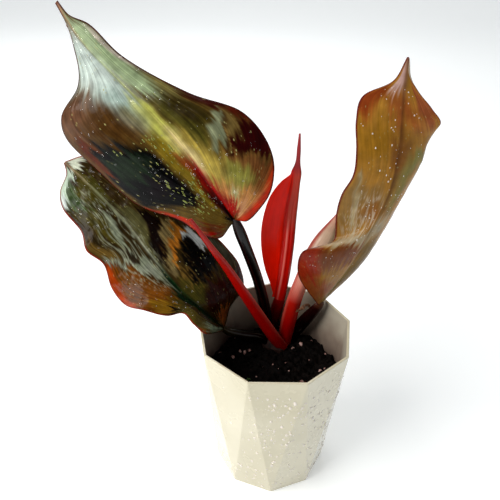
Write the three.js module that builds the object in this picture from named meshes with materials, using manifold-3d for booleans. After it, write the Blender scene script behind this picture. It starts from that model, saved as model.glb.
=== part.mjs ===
// Potted red heart philodendron: a nine-cornered pot with soil, and a young plant with three
// open leaves, one new leaf still rolled up, and two narrow sheaths. Millimetres, +Z up.
// The origin is the middle of the pot's underside, and the leaves face -Y.
import * as THREE from 'three';
import { mergeVertices } from 'three/addons/utils/BufferGeometryUtils.js';
import Module from 'manifold-3d';

const wasm = await Module();
wasm.setup();

// Driving dimensions
const potHeight = 143.2;
const potTopRadius = 63;
const potBottomRadius = 48.7;
const potCorners = 9;
const potWall = 2.1;
const potFloor = 3;
const soilLevel = 98;
const soilLump = 2.4;
const soilGap = 0.4;
const touchGap = 0.3;
const crownRadius = 13;
const crownPlace = [4, 35];
const bladeThickness = 0.9;
const bladeRows = 36;
const ridgeFade = 0.7;
const slopeStep = 0.01;
const stalkSides = 10;
const sheathArcPoints = 8;
const sheathSetBack = 0.6;
const rollPoints = 9;
const rollOpening = 0.5;
const rollFlatness = 0.85;
const crownSides = 14;
const crownBumps = 0.06;
const soilCells = 23;
const soilBelow = 10;
const cutAbove = 5;

// Where the columns of a blade's half stand, as shares of its width.
const halfColumns = [0.07, 0.2, 0.38, 0.58, 0.79, 1];
// The crown's rings, as [height, share of the radius].
const crownRings = [[60, 0.75], [75, 0.9], [90, 1], [99, 1], [103.5, 0.82], [107, 0.4]];
// Where the points of the new leaf's flap stand, as shares of its reach.
const flapPlaces = [0.35, 0.7, 1];

const plant = new THREE.Group();

// Every part is one named mesh with a material of its own.
function addPart(name, geometry, colour, roughness) {
  geometry.computeVertexNormals();
  const material = new THREE.MeshStandardMaterial({ color: colour, roughness, metalness: 0 });
  const mesh = new THREE.Mesh(geometry, material);
  mesh.name = name;
  plant.add(mesh);
}

// A mesh from points and triangles, turned inside out where its faces would point inward.
function closedMesh(points, triangles) {
  const volume = triangles.reduce((sum, [a, b, c]) => {
    const corner = new THREE.Vector3().crossVectors(points[b], points[c]);
    return sum + points[a].dot(corner);
  }, 0);
  const outward = volume > 0 ? triangles : triangles.map(([a, b, c]) => [a, c, b]);
  const geometry = new THREE.BufferGeometry().setFromPoints(points);
  geometry.setIndex(outward.flat());
  return geometry;
}

// The flat end of a swept body, cut into triangles within its outline.
function endTriangles(ring, first) {
  const middle = ring.reduce((sum, p) => sum.add(p), new THREE.Vector3()).divideScalar(ring.length);
  const normal = new THREE.Vector3();
  ring.forEach((p, i) => {
    const next = ring[(i + 1) % ring.length];
    normal.add(new THREE.Vector3().crossVectors(p.clone().sub(middle), next.clone().sub(middle)));
  });
  const flatX = ring[0].clone().sub(middle).normalize();
  const flatY = new THREE.Vector3().crossVectors(normal.normalize(), flatX);
  const outline = ring.map((p) => {
    const offset = p.clone().sub(middle);
    return new THREE.Vector2(offset.dot(flatX), offset.dot(flatY));
  });
  return THREE.ShapeUtils.triangulateShape(outline, []).map((t) => t.map((i) => first + i));
}

// A closed body from rings of points that follow each other.
function closedRings(rings) {
  const count = rings[0].length;
  const triangles = [];
  for (let r = 0; r < rings.length - 1; r += 1) {
    for (let c = 0; c < count; c += 1) {
      const a = r * count + c;
      const b = r * count + ((c + 1) % count);
      triangles.push([a, b, a + count], [b, b + count, a + count]);
    }
  }
  endTriangles(rings[0], 0).forEach(([a, b, c]) => triangles.push([a, c, b]));
  triangles.push(...endTriangles(rings[rings.length - 1], (rings.length - 1) * count));
  return closedMesh(rings.flat(), triangles);
}

// A closed thin sheet from two grids of points, split into triangles alike on both faces.
function closedSheet(upper, lower) {
  const rows = upper.length;
  const columns = upper[0].length;
  const at = (row, column) => row * columns + column;
  const half = rows * columns;
  const triangles = [];
  for (let r = 0; r < rows - 1; r += 1) {
    for (let c = 0; c < columns - 1; c += 1) {
      const [a, b, d, e] = [at(r, c), at(r, c + 1), at(r + 1, c), at(r + 1, c + 1)];
      triangles.push([a, b, d], [b, e, d]);
      triangles.push([half + a, half + d, half + b], [half + b, half + d, half + e]);
    }
  }
  const edge = [];
  for (let c = 0; c < columns - 1; c += 1) edge.push(at(0, c));
  for (let r = 0; r < rows - 1; r += 1) edge.push(at(r, columns - 1));
  for (let c = columns - 1; c > 0; c -= 1) edge.push(at(rows - 1, c));
  for (let r = rows - 1; r > 0; r -= 1) edge.push(at(r, 0));
  edge.forEach((a, i) => {
    const b = edge[(i + 1) % edge.length];
    triangles.push([a, half + a, half + b], [a, half + b, b]);
  });
  return closedMesh([...upper.flat(), ...lower.flat()], triangles);
}

// Closed meshes become solids for cutting. What a cut leaves loose is dropped.
function toSolid(geometry) {
  const bare = geometry.clone();
  bare.deleteAttribute('normal');
  bare.deleteAttribute('uv');
  const merged = mergeVertices(bare, 1e-4);
  return new wasm.Manifold(new wasm.Mesh({
    numProp: 3,
    vertProperties: new Float32Array(merged.attributes.position.array),
    triVerts: new Uint32Array(merged.index.array),
  }));
}

function toGeometry(solid) {
  const bodies = solid.decompose().sort((a, b) => b.volume() - a.volume());
  const mesh = bodies[0].getMesh();
  const geometry = new THREE.BufferGeometry();
  geometry.setAttribute('position', new THREE.BufferAttribute(new Float32Array(mesh.vertProperties), 3));
  geometry.setIndex(new THREE.BufferAttribute(new Uint32Array(mesh.triVerts), 1));
  return geometry;
}

function trimmed(geometry, neighbours) {
  return toGeometry(neighbours.reduce((rest, other) => rest.subtract(toSolid(other)), toSolid(geometry)));
}

// Carries a section along a smooth path. A section is a list of [across, out] pairs: out points
// the way that the part faces, and across lies at right angles to it and to the path.
function sweep(places, facing, steps, section) {
  const path = new THREE.CatmullRomCurve3(places.map((place) => new THREE.Vector3(...place)));
  const rings = Array.from({ length: steps + 1 }, (_, i) => {
    const share = i / steps;
    const centre = path.getPointAt(share);
    const along = path.getTangentAt(share);
    const across = new THREE.Vector3().crossVectors(along, facing).normalize();
    const out = new THREE.Vector3().crossVectors(across, along);
    return section(share).map(([x, y]) => {
      return centre.clone().addScaledVector(across, x).addScaledVector(out, y);
    });
  });
  return closedRings(rings);
}

// Values given as [share, value] pairs, with straight lines between them.
function between(pairs, share) {
  const next = pairs.findIndex(([place]) => place >= share);
  if (next <= 0) return pairs[0][1];
  const [fromShare, fromValue] = pairs[next - 1];
  const [toShare, toValue] = pairs[next];
  return fromValue + ((toValue - fromValue) * (share - fromShare)) / (toShare - fromShare);
}

// Pot: a thin shell between two nine-cornered rings, the lower one turned by half a corner, so
// that eighteen triangles make its side.
const cornerStretch = 1 / Math.cos(Math.PI / potCorners);
const potSlope = (potTopRadius - potBottomRadius) / potHeight;

function cornerRing(radius, z, turn) {
  return Array.from({ length: potCorners }, (_, i) => {
    const angle = ((i + turn) * 2 * Math.PI) / potCorners;
    return new THREE.Vector3(-radius * Math.sin(angle), -radius * Math.cos(angle), z);
  });
}

function potSpace(gap, top) {
  const inset = (potWall + gap) * cornerStretch;
  const bottomRadius = potBottomRadius + potSlope * potFloor - inset;
  const topRadius = potTopRadius + potSlope * (top - potHeight) - inset;
  return closedRings([cornerRing(topRadius, top, 0.5), cornerRing(bottomRadius, potFloor + gap, 1)]);
}

const potBody = closedRings([cornerRing(potTopRadius, potHeight, 0.5), cornerRing(potBottomRadius, 0, 1)]);

// Leaves: a rail is a list of [share, x, y, z]: share runs from 0 at the leaf's base to 1 at its
// tip, and a cubic goes through the points.
function railPoint(rail, share) {
  let i = 0;
  while (i < rail.length - 2 && share > rail[i + 1][0]) i += 1;
  const [before, from, to, after] = [rail[i - 1], rail[i], rail[i + 1], rail[i + 2]];
  const span = to[0] - from[0];
  const t = (share - from[0]) / span;
  const values = [1, 2, 3].map((axis) => {
    const slope = (to[axis] - from[axis]) / span;
    const slopeBefore = before ? (from[axis] - before[axis]) / (from[0] - before[0]) : slope;
    const slopeAfter = after ? (after[axis] - to[axis]) / (after[0] - to[0]) : slope;
    const startWeight = before ? (from[0] - before[0]) / (to[0] - before[0]) : 1;
    const endWeight = after ? (after[0] - to[0]) / (after[0] - from[0]) : 1;
    const start = slope * startWeight + slopeBefore * (1 - startWeight);
    const end = slope * endWeight + slopeAfter * (1 - endWeight);
    return from[axis] * (2 * t ** 3 - 3 * t ** 2 + 1) + start * span * (t ** 3 - 2 * t ** 2 + t)
      + to[axis] * (3 * t ** 2 - 2 * t ** 3) + end * span * (t ** 3 - t ** 2);
  });
  return new THREE.Vector3(...values);
}

// A point of a blade: side runs from -1 at the left edge over 0 at the midrib to 1 at the right
// edge. Each half is a parabola from the midrib over the fold, or over an arch that rises by its
// own share of the half's width, to the edge, and the edge waves across the blade's face.
function bladePoint(leaf, share, side) {
  const half = side < 0 ? leaf.left : leaf.right;
  const t = Math.abs(side);
  const rib = railPoint(leaf.midrib, share);
  const edge = railPoint(half.edge, share);
  const ahead = railPoint(leaf.midrib, Math.min(share + slopeStep, 1));
  const along = ahead.sub(railPoint(leaf.midrib, Math.max(share - slopeStep, 0)));
  const across = railPoint(leaf.right.edge, share).sub(railPoint(leaf.left.edge, share));
  const up = new THREE.Vector3().crossVectors(across, along).normalize();
  const width = edge.distanceTo(rib);
  const middle = half.fold ? railPoint(half.fold, share) : rib.clone().lerp(edge, 0.5);
  if (!half.fold) middle.addScaledVector(up, width * half.arch);
  const wave = half.wave * width * t ** 2 * Math.sin(2 * Math.PI * (half.waves * share + half.phase));
  return rib.multiplyScalar((2 * t - 1) * (t - 1))
    .addScaledVector(middle, 4 * t * (1 - t))
    .addScaledVector(edge, t * (2 * t - 1))
    .addScaledVector(up, wave);
}

// A blade is a thin closed sheet. Its underside carries the midrib, a ridge that fades to the tip.
function blade(leaf) {
  const sides = [...halfColumns.map((t) => -t).reverse(), 0, ...halfColumns];
  const grid = Array.from({ length: bladeRows + 1 }, (_, r) => {
    return sides.map((side) => bladePoint(leaf, r / bladeRows, side));
  });
  const normals = grid.map((row, r) => row.map((_, c) => {
    const alongRow = grid[Math.min(r + 1, bladeRows)][c].clone().sub(grid[Math.max(r - 1, 0)][c]);
    const acrossRow = row[Math.min(c + 1, row.length - 1)].clone().sub(row[Math.max(c - 1, 0)]);
    return acrossRow.cross(alongRow).normalize();
  }));
  const offset = (amount) => grid.map((row, r) => row.map((point, c) => {
    return point.clone().addScaledVector(normals[r][c], amount(r / bladeRows, sides[c]));
  }));
  const ridge = (share, side) => (side === 0 ? leaf.ribDepth * (1 - share) ** ridgeFade : 0);
  const upper = offset(() => bladeThickness / 2);
  const lower = offset((share, side) => -bladeThickness / 2 - ridge(share, side));
  return closedSheet(upper, lower);
}

const upperLeaf = {
  ribDepth: 2.6,
  midrib: [[0, -33, 27, 227], [0.16, -50, 30, 251], [0.36, -71, 36, 280], [0.56, -96, 48, 305],
    [0.74, -123, 64, 327], [0.88, -146, 80, 346], [1, -164, 98, 367]],
  left: {
    edge: [[0, -36, 25, 223], [0.03, -42, 20, 216], [0.08, -55, 21, 216], [0.16, -73, 27, 225],
      [0.3, -109, 38, 234], [0.42, -138, 50, 256], [0.52, -161, 60, 277], [0.6, -163, 63, 293],
      [0.7, -149, 68, 314], [0.84, -151, 80, 340], [0.94, -158, 91, 356], [1, -165, 98, 366]],
    arch: 0.1,
    wave: 0,
    waves: 2,
    phase: 0,
  },
  right: {
    edge: [[0, -30, 26, 228], [0.03, -24, 23, 228], [0.09, -11, 23, 243], [0.2, -4, 28, 266],
      [0.32, -10, 36, 287], [0.44, -28, 44, 305], [0.58, -66, 54, 315], [0.74, -115, 72, 336],
      [0.86, -139, 84, 355], [0.94, -155, 92, 360], [1, -163, 98, 368]],
    arch: 0.1,
    wave: 0,
    waves: 2,
    phase: 0,
  },
};

const lowLeaf = {
  ribDepth: 2.4,
  midrib: [[0, -43, 20, 126], [0.12, -57, 10, 152], [0.26, -73, 12, 168], [0.45, -96, 26, 190],
    [0.66, -121, 44, 215], [0.84, -148, 60, 237], [1, -170, 72, 253]],
  left: {
    edge: [[0, -44, 17, 125], [0.04, -54, -10, 145], [0.1, -64, -9, 154], [0.17, -72, -2, 159],
      [0.24, -84, -6, 160], [0.33, -102, -4, 163], [0.42, -118, 2, 164], [0.5, -130, 12, 174],
      [0.57, -136, 22, 188], [0.64, -149, 28, 196], [0.72, -154, 36, 209], [0.82, -171, 50, 223],
      [0.9, -173, 60, 234], [0.96, -169, 68, 245], [1, -171, 72, 252]],
    arch: 0.08,
    wave: 0.06,
    waves: 3.5,
    phase: 0,
  },
  right: {
    edge: [[0, -41, 23, 127], [0.03, -38, 34, 136], [0.1, -25, 40, 153], [0.18, -28, 45, 173],
      [0.27, -42, 50, 189], [0.42, -67, 56, 209], [0.58, -94, 62, 229], [0.74, -124, 68, 247],
      [0.9, -152, 72, 259], [1, -169, 72, 254]],
    arch: 0.08,
    wave: 0.05,
    waves: 3,
    phase: 0.3,
  },
};

const rightLeaf = {
  ribDepth: 2.4,
  midrib: [[0, 40, 30, 146], [0.16, 59, 28, 184], [0.32, 72, 28, 218], [0.48, 82, 32, 245],
    [0.66, 86, 38, 277], [0.82, 86, 45, 306], [0.92, 86, 52, 324], [1, 88, 60, 340]],
  left: {
    edge: [[0, 37, 28, 146], [0.08, 19, 12, 182], [0.15, 15, 5, 201], [0.22, 18, 4, 214],
      [0.29, 31, 16, 211], [0.36, 45, 32, 207], [0.44, 45, 34, 229], [0.52, 47, 32, 247],
      [0.6, 53.5, 32, 262], [0.7, 54.5, 36, 281], [0.78, 53, 42, 300], [0.86, 57, 48, 316],
      [0.94, 79, 54, 326], [1, 87, 60, 340]],
    arch: 0.06,
    wave: 0,
    waves: 2,
    phase: 0,
  },
  right: {
    edge: [[0, 42, 33, 144], [0.1, 51, 52, 148], [0.22, 57, 66, 160], [0.34, 64, 74, 182],
      [0.45, 67.5, 77, 209], [0.53, 65.2, 77, 235], [0.59, 64.8, 76, 259], [0.635, 70, 75, 273],
      [0.68, 91, 70.5, 280], [0.73, 110, 59, 285], [0.775, 115.3, 47.5, 296], [0.84, 107.5, 47.5, 307.5],
      [0.91, 95.4, 51, 320], [0.96, 88.8, 55, 330], [1, 88.4, 60.2, 340]],
    fold: [[0, 41, 32, 145], [0.16, 70, 40, 177.5], [0.32, 86.5, 48, 207], [0.48, 98, 53, 237.5],
      [0.58, 105.6, 56, 258], [0.67, 110.2, 55, 275], [0.725, 110.5, 51, 285], [0.78, 106, 46, 296],
      [0.85, 98.5, 47.5, 309.5], [0.92, 91, 53, 323], [1, 88.2, 60.2, 340]],
    wave: 0,
    waves: 2,
    phase: 0,
  },
};

// Stalks: round, thickest where they sheathe the crown.
function stalk({ places, facing, radii, flatness, steps }, grow = 0) {
  return sweep(places, facing, steps, (share) => {
    const radius = between(radii, share);
    return Array.from({ length: stalkSides }, (_, i) => {
      const angle = (i * 2 * Math.PI) / stalkSides;
      return [(radius + grow) * Math.cos(angle), (radius * flatness + grow) * Math.sin(angle)];
    });
  });
}

const front = new THREE.Vector3(0, -1, 0);
const upperStalk = {
  places: [[0, 38, 90], [-4, 42, 106], [-6, 40, 126], [-13, 35, 163], [-23, 30, 198], [-31.5, 28.5, 223.5]],
  facing: front,
  radii: [[0, 5.5], [0.15, 5.1], [0.4, 4.7], [0.8, 4.5], [1, 4]],
  flatness: 0.9,
  steps: 16,
};
const lowStalk = {
  places: [[0, 34, 94], [-10, 32, 106], [-26, 27, 113], [-41.5, 21, 123.5]],
  facing: new THREE.Vector3(0, 0, 1),
  radii: [[0, 5.5], [0.4, 4.6], [1, 3.6]],
  flatness: 0.85,
  steps: 10,
};
const rightStalk = {
  places: [[8, 38, 90], [18, 39, 103], [28, 35, 122], [38.5, 30.5, 143]],
  facing: front,
  radii: [[0, 6.5], [0.4, 6.2], [0.8, 5.2], [1, 3.8]],
  flatness: 0.72,
  steps: 10,
};
const newStalk = {
  places: [[2, 44, 88], [1, 47, 102], [3, 47, 120], [6, 46, 137]],
  facing: front,
  radii: [[0, 6], [0.5, 5.4], [1, 4.6]],
  flatness: 0.8,
  steps: 8,
};

// Sheaths: narrow channels, crescent in section, that taper to a point. The hollow side is turned
// away from where they face.
function sheath({ places, facing, widths, wall, spread, steps }, grow = 0) {
  return sweep(places, facing, steps, (share) => {
    const radius = between(widths, share) / 2 / Math.sin(Math.min(spread, Math.PI / 2));
    const thickness = Math.min(wall, radius * 0.8);
    const arc = (r, from, to, count) => Array.from({ length: count }, (_, i) => {
      const angle = from + ((to - from) * i) / (count - 1);
      return [r * Math.sin(angle), r * Math.cos(angle) - radius * sheathSetBack];
    });
    const wide = spread + grow / radius;
    const inner = Math.max(radius - thickness - grow, 0.1);
    const outside = arc(radius + grow, -wide, wide, sheathArcPoints);
    return [...outside, ...arc(inner, wide, -wide, sheathArcPoints)];
  });
}

const leftSheath = {
  places: [[8, 26, 97], [-1, 24, 113], [-9, 23, 128], [-24, 20, 158], [-39, 16, 189], [-52, 11, 214],
    [-64, 7, 238]],
  facing: new THREE.Vector3(-0.3, -1, -0.3).normalize(),
  widths: [[0, 13], [0.2, 12], [0.4, 10.5], [0.6, 8.4], [0.8, 6], [1, 3.2]],
  wall: 2.2,
  spread: 1.5,
  steps: 20,
};
const rightSheath = {
  places: [[11, 30, 96], [15, 31, 126], [20, 32, 153], [30, 36.5, 180], [43.5, 42, 206], [49, 41, 227]],
  facing: new THREE.Vector3(0.1, -1, 0).normalize(),
  widths: [[0, 12], [0.2, 13.5], [0.5, 13], [0.82, 16], [1, 2.4]],
  wall: 2.2,
  spread: 1.5,
  steps: 20,
};

// New leaf: the middle is rolled round itself into a tapering spear, and the left side stands
// free as a flap. The section is a comma, the roll's round and the flap's thin tail.
const newLeaf = {
  places: [[6.2, 46, 139], [9, 46, 163], [11, 46, 193], [12, 47, 221], [14, 48, 247], [15, 49, 267],
    [15, 51, 287]],
  facing: front,
  rollRadius: [[0, 4.8], [0.3, 4.8], [0.6, 4.2], [0.74, 3.3], [0.8, 3.4], [0.84, 1.9],
    [0.93, 1.2], [1, 0.6]],
  flapReach: [[0, 5.2], [0.08, 10], [0.18, 16.5], [0.3, 21.2], [0.4, 23], [0.55, 21.5], [0.65, 18],
    [0.74, 11], [0.79, 4.5], [0.84, 2.3], [1, 0.9]],
  flapBack: 4,
  flapFull: 20,
  flapCurl: 2.4,
  steps: 30,
};

function rolledLeaf(leaf) {
  const thin = bladeThickness / 2;
  return sweep(leaf.places, leaf.facing, leaf.steps, (share) => {
    const radius = between(leaf.rollRadius, share);
    const reach = Math.max(between(leaf.flapReach, share), radius * 1.4);
    const back = leaf.flapBack * Math.max(0, (reach - radius) / leaf.flapFull);
    const tail = flapPlaces.map((t) => {
      const along = radius + (reach - radius) * t;
      return [-along, -back * (leaf.flapCurl * t * (1 - t) + t)];
    });
    const slim = Math.min(thin, radius * 0.45);
    const round = Array.from({ length: rollPoints }, (_, i) => {
      const start = Math.PI - rollOpening;
      const angle = start - (i * 2 * start) / (rollPoints - 1);
      return [radius * Math.cos(angle), radius * Math.sin(angle) * rollFlatness];
    });
    const over = tail.map(([x, y]) => [x, y + slim]);
    const under = tail.map(([x, y]) => [x, y - slim]).reverse();
    return [...over.reverse(), ...round, ...under.reverse()];
  });
}

// Stem crown: a short stump with a domed top, half sunk in the soil.
function crownShape(grow = 0) {
  const crownTop = crownRings[crownRings.length - 1][0];
  return closedRings(crownRings.map(([z, share]) => Array.from({ length: crownSides }, (_, i) => {
    const angle = (i * 2 * Math.PI) / crownSides;
    const radius = crownRadius * share * (1 + crownBumps * Math.sin(3 * angle + z / 9)) + grow;
    const [x, y] = [radius * Math.cos(angle), radius * Math.sin(angle)];
    return new THREE.Vector3(crownPlace[0] + x, crownPlace[1] + y, z === crownTop ? z + grow : z);
  })));
}

// Soil: fills the pot up to its level. The top is lumpy: sums of three crossing waves of unlike
// length lift and lower it.
function soilLumps(x, y) {
  const broad = Math.sin(x * 0.11 + 1.3) * Math.cos(y * 0.13 - 0.4);
  const middling = Math.sin(x * 0.31 - y * 0.23 + 0.7) * 0.6;
  const fine = Math.sin(x * 0.52 + 2.1) * Math.sin(y * 0.61 + 0.9) * 0.7;
  return soilLump * (broad + middling + fine);
}

function lumpyBlock() {
  const side = 2 * potTopRadius + 6;
  const block = new THREE.BoxGeometry(side, side, soilLevel + soilBelow, soilCells, soilCells, 1);
  block.translate(0, 0, (soilLevel - soilBelow) / 2);
  const places = block.attributes.position;
  for (let i = 0; i < places.count; i += 1) {
    const lift = places.getZ(i) > 0 ? soilLumps(places.getX(i), places.getY(i)) : 0;
    places.setZ(i, places.getZ(i) + lift);
  }
  return block;
}

const soilRoom = toSolid(potSpace(soilGap, potHeight + cutAbove));
const soilBlock = toGeometry(soilRoom.intersect(toSolid(lumpyBlock())));

// Build: each part is cut back from the neighbours that it touches.
const crown = crownShape();
const crownClear = crownShape(touchGap);
const [upperClear, lowClear, rightClear, newClear] = [upperStalk, lowStalk, rightStalk, newStalk]
  .map((one) => stalk(one, touchGap));
const sheathsClear = [leftSheath, rightSheath].map((one) => sheath(one, touchGap));
const aroundSheaths = [crownClear, ...sheathsClear];
const aroundStalks = [...aroundSheaths, upperClear];
const inSoil = [crownClear, upperClear, lowClear, rightClear, newClear, ...sheathsClear];

addPart('pot', trimmed(potBody, [potSpace(0, potHeight + cutAbove)]), 0xe6e1d3, 0.25);
addPart('soil', trimmed(soilBlock, inSoil), 0x17100d, 0.95);
addPart('stem_crown', crown, 0x241511, 0.7);
addPart('left_sheath', trimmed(sheath(leftSheath), [crownClear]), 0xb3180c, 0.35);
addPart('right_sheath', trimmed(sheath(rightSheath), [crownClear, sheathsClear[0]]), 0xb5180d, 0.35);
addPart('upper_leaf_stalk', trimmed(stalk(upperStalk), aroundSheaths), 0x120a0b, 0.35);
addPart('right_leaf_stalk', trimmed(stalk(rightStalk), aroundStalks), 0x160a0a, 0.35);
addPart('new_leaf_stalk', trimmed(stalk(newStalk), [...aroundStalks, rightClear]), 0x5a0a08, 0.4);
addPart('low_leaf_stalk', trimmed(stalk(lowStalk), aroundStalks), 0x1a0c0b, 0.4);
addPart('upper_leaf_blade', blade(upperLeaf), 0x6f6a34, 0.3);
addPart('low_leaf_blade', blade(lowLeaf), 0x5a4f24, 0.3);
addPart('right_leaf_blade', blade(rightLeaf), 0x8a6b3c, 0.35);
addPart('new_leaf', rolledLeaf(newLeaf), 0xc01d0e, 0.35);

export default plant;
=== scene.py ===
import bpy
import numpy as np
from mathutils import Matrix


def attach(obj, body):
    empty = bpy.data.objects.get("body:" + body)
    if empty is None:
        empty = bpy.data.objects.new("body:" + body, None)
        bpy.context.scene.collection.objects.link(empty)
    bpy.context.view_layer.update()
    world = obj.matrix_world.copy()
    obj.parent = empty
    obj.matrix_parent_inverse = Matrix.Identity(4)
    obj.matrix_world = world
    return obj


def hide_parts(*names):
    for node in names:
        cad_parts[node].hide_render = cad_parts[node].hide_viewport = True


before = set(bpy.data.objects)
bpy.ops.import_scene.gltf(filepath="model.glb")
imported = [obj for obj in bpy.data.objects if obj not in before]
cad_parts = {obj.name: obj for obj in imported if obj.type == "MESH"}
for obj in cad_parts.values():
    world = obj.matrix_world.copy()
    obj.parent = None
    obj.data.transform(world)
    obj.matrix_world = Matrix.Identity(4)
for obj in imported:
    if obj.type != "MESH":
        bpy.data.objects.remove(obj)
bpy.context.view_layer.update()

# Camera
# It looks down on the pot from in front of it and from just above the highest leaf tip, at the
# photograph's angle. The lens is a little wider than normal.
camera_data = bpy.data.cameras.new("view")
camera_data.lens = 37.64
camera_data.clip_start = 0.02
camera = bpy.data.objects.new("view", camera_data)
camera.location = (-0.0228, -0.3203, 0.4197)
camera.rotation_euler = np.radians((57.70, -0.74, 0.12))
bpy.context.scene.collection.objects.link(camera)
bpy.context.scene.camera = camera
bpy.context.scene.view_settings.view_transform = "Standard"

# Floor
# A plain pale sheet that lies flat under the pot and curves up far behind it, so that no edge shows.
floor_half_width = 5.0
floor_front = -3.0
floor_bend_start = 2.2
floor_bend_radius = 1.2
floor_top = 3.5


def grid_faces(rows, columns, wrap=False):
    """The quads of a grid of points, counted row by row. Wrapped, the last column meets the first."""
    row = np.arange(rows - 1)[:, None]
    column = np.arange(columns if wrap else columns - 1)[None, :]
    here = row * columns + column
    beside = row * columns + (column + 1) % columns
    return np.stack([here, beside, beside + columns, here + columns], axis=-1).reshape(-1, 4)


def mesh_object(name, points, faces, materials, smooth=True, uvs=None, tint=None, slots=None, crease=None):
    """An object with its place in its mesh. uvs are layers of two values a point, tint is a colour a
    point, slots the number of each face's material, and edges bent by more than crease stay sharp."""
    mesh = bpy.data.meshes.new(name)
    mesh.from_pydata(points.reshape(-1, 3).tolist(), [], [list(face) for face in faces])
    for material in materials:
        mesh.materials.append(material)
    mesh.polygons.foreach_set("use_smooth", np.full(len(mesh.polygons), smooth))
    if slots is not None:
        mesh.polygons.foreach_set("material_index", np.asarray(slots, dtype=np.int32))
    corners = np.empty(len(mesh.loops), dtype=np.int32)
    mesh.loops.foreach_get("vertex_index", corners)
    for layer_name, values in (uvs or {}).items():
        layer = mesh.uv_layers.new(name=layer_name)
        layer.data.foreach_set("uv", values.reshape(-1, 2)[corners].astype(np.float32).ravel())
    if tint is not None:
        layer = mesh.color_attributes.new("tint", "FLOAT_COLOR", "POINT")
        opaque = np.concatenate([tint.reshape(-1, 3), np.ones((tint.size // 3, 1))], axis=1)
        layer.data.foreach_set("color", opaque.astype(np.float32).ravel())
    if crease is not None:
        mesh.set_sharp_from_angle(angle=np.radians(crease))
    mesh.update()
    piece = bpy.data.objects.new(name, mesh)
    bpy.context.scene.collection.objects.link(piece)
    return piece


def add_node(tree, kind, inputs=None, **settings):
    """A node with its settings, whose inputs are set to values or joined to sockets."""
    made = tree.nodes.new(kind)
    for setting, value in settings.items():
        setattr(made, setting, value)
    for socket, value in (inputs or {}).items():
        if isinstance(value, bpy.types.NodeSocket):
            tree.links.new(value, made.inputs[socket])
        else:
            made.inputs[socket].default_value = value
    return made


def new_material(name, **constants):
    """A material with one Principled shader whose plain sockets hold the constants."""
    material = bpy.data.materials.new(name)
    material.use_nodes = True
    shader = material.node_tree.nodes["Principled BSDF"]
    for socket, value in constants.items():
        shader.inputs[socket.replace("_", " ")].default_value = value
    return material, material.node_tree, shader


def colour_ramp(tree, factor, *stops):
    """A ramp over a factor, from (place, colour) stops."""
    ramp = add_node(tree, "ShaderNodeValToRGB", {"Fac": factor})
    while len(ramp.color_ramp.elements) < len(stops):
        ramp.color_ramp.elements.new(0.5)
    for element, (place, colour) in zip(ramp.color_ramp.elements, stops):
        element.position = place
        element.color = (*colour, 1)
    return ramp.outputs["Color"]


def noise(tree, scale, detail, where=None):
    """A noise of a scale and detail, over a place or, without one, over the object's own box."""
    over = {} if where is None else {"Vector": where}
    return add_node(tree, "ShaderNodeTexNoise", {"Scale": scale, "Detail": detail, **over}).outputs["Fac"]


bend = np.linspace(0, np.pi / 2, 16)
floor_profile = np.concatenate([
    [[floor_front, 0], [floor_bend_start, 0]],
    np.stack([
        floor_bend_start + floor_bend_radius * np.sin(bend[1:]),
        floor_bend_radius * (1 - np.cos(bend[1:])),
    ], axis=1),
    [[floor_bend_start + floor_bend_radius, floor_top]],
])
floor_sides = np.array([-floor_half_width, floor_half_width])
floor_points = np.empty((len(floor_profile), 2, 3))
floor_points[..., 0] = floor_sides
floor_points[..., 1] = floor_profile[:, None, 0]
floor_points[..., 2] = floor_profile[:, None, 1]
floor_material, tree, shader = new_material(
    "floor_paint", Roughness=0.75, Emission_Color=(1, 1, 1, 1), Emission_Strength=0.25,
)
shade = colour_ramp(tree, noise(tree, 2.0, 3.0), (0.3, (0.86, 0.88, 0.88)), (0.7, (0.90, 0.92, 0.92)))
tree.links.new(shade, shader.inputs["Base Color"])
floor = mesh_object("floor", floor_points, grid_faces(len(floor_profile), 2), [floor_material])

# Light
# Soft daylight: a large window high on the left, a weaker one on the right, and a bright room all
# round, of which the wet leaves mirror only a part.
room_colour = (0.93, 0.97, 1.0, 1)
room_light = 0.4
room_mirrored = 0.16
world = bpy.data.worlds.new("room")
world.use_nodes = True
tree = world.node_tree
mirrored = add_node(tree, "ShaderNodeLightPath").outputs["Is Glossy Ray"]
bright = tree.nodes["Background"]
bright.inputs["Color"].default_value = room_colour
bright.inputs["Strength"].default_value = room_light
dim = add_node(tree, "ShaderNodeBackground", {"Color": room_colour, "Strength": room_mirrored})
room = add_node(tree, "ShaderNodeMixShader", {0: mirrored, 1: bright.outputs[0], 2: dim.outputs[0]})
tree.links.new(room.outputs[0], tree.nodes["World Output"].inputs["Surface"])
bpy.context.scene.world = world


def window_light(name, place, aim, size, power, colour):
    """A square area light at a place, turned to face the aim point."""
    data = bpy.data.lights.new(name, "AREA")
    data.shape = "SQUARE"
    data.size = size
    data.energy = power
    data.color = colour
    light = bpy.data.objects.new(name, data)
    light.location = place
    away = np.array(place) - np.array(aim)
    turn = np.arctan2(away[0], -away[1])
    tilt = np.arctan2(np.hypot(away[0], away[1]), away[2])
    light.rotation_euler = (tilt, 0, turn)
    bpy.context.scene.collection.objects.link(light)


plant_middle = (0, 0.03, 0.2)
window_light("left_window", (-1.3, -0.5, 1.3), plant_middle, size=1.3, power=38, colour=(1.0, 0.98, 0.95))
window_light("right_window", (1.5, -0.6, 0.9), plant_middle, size=1.2, power=1.5, colour=(0.95, 0.98, 1.0))
window_light("back_window", (-0.3, 1.6, 1.5), plant_middle, size=1.4, power=12, colour=(1.0, 1.0, 1.0))

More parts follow.
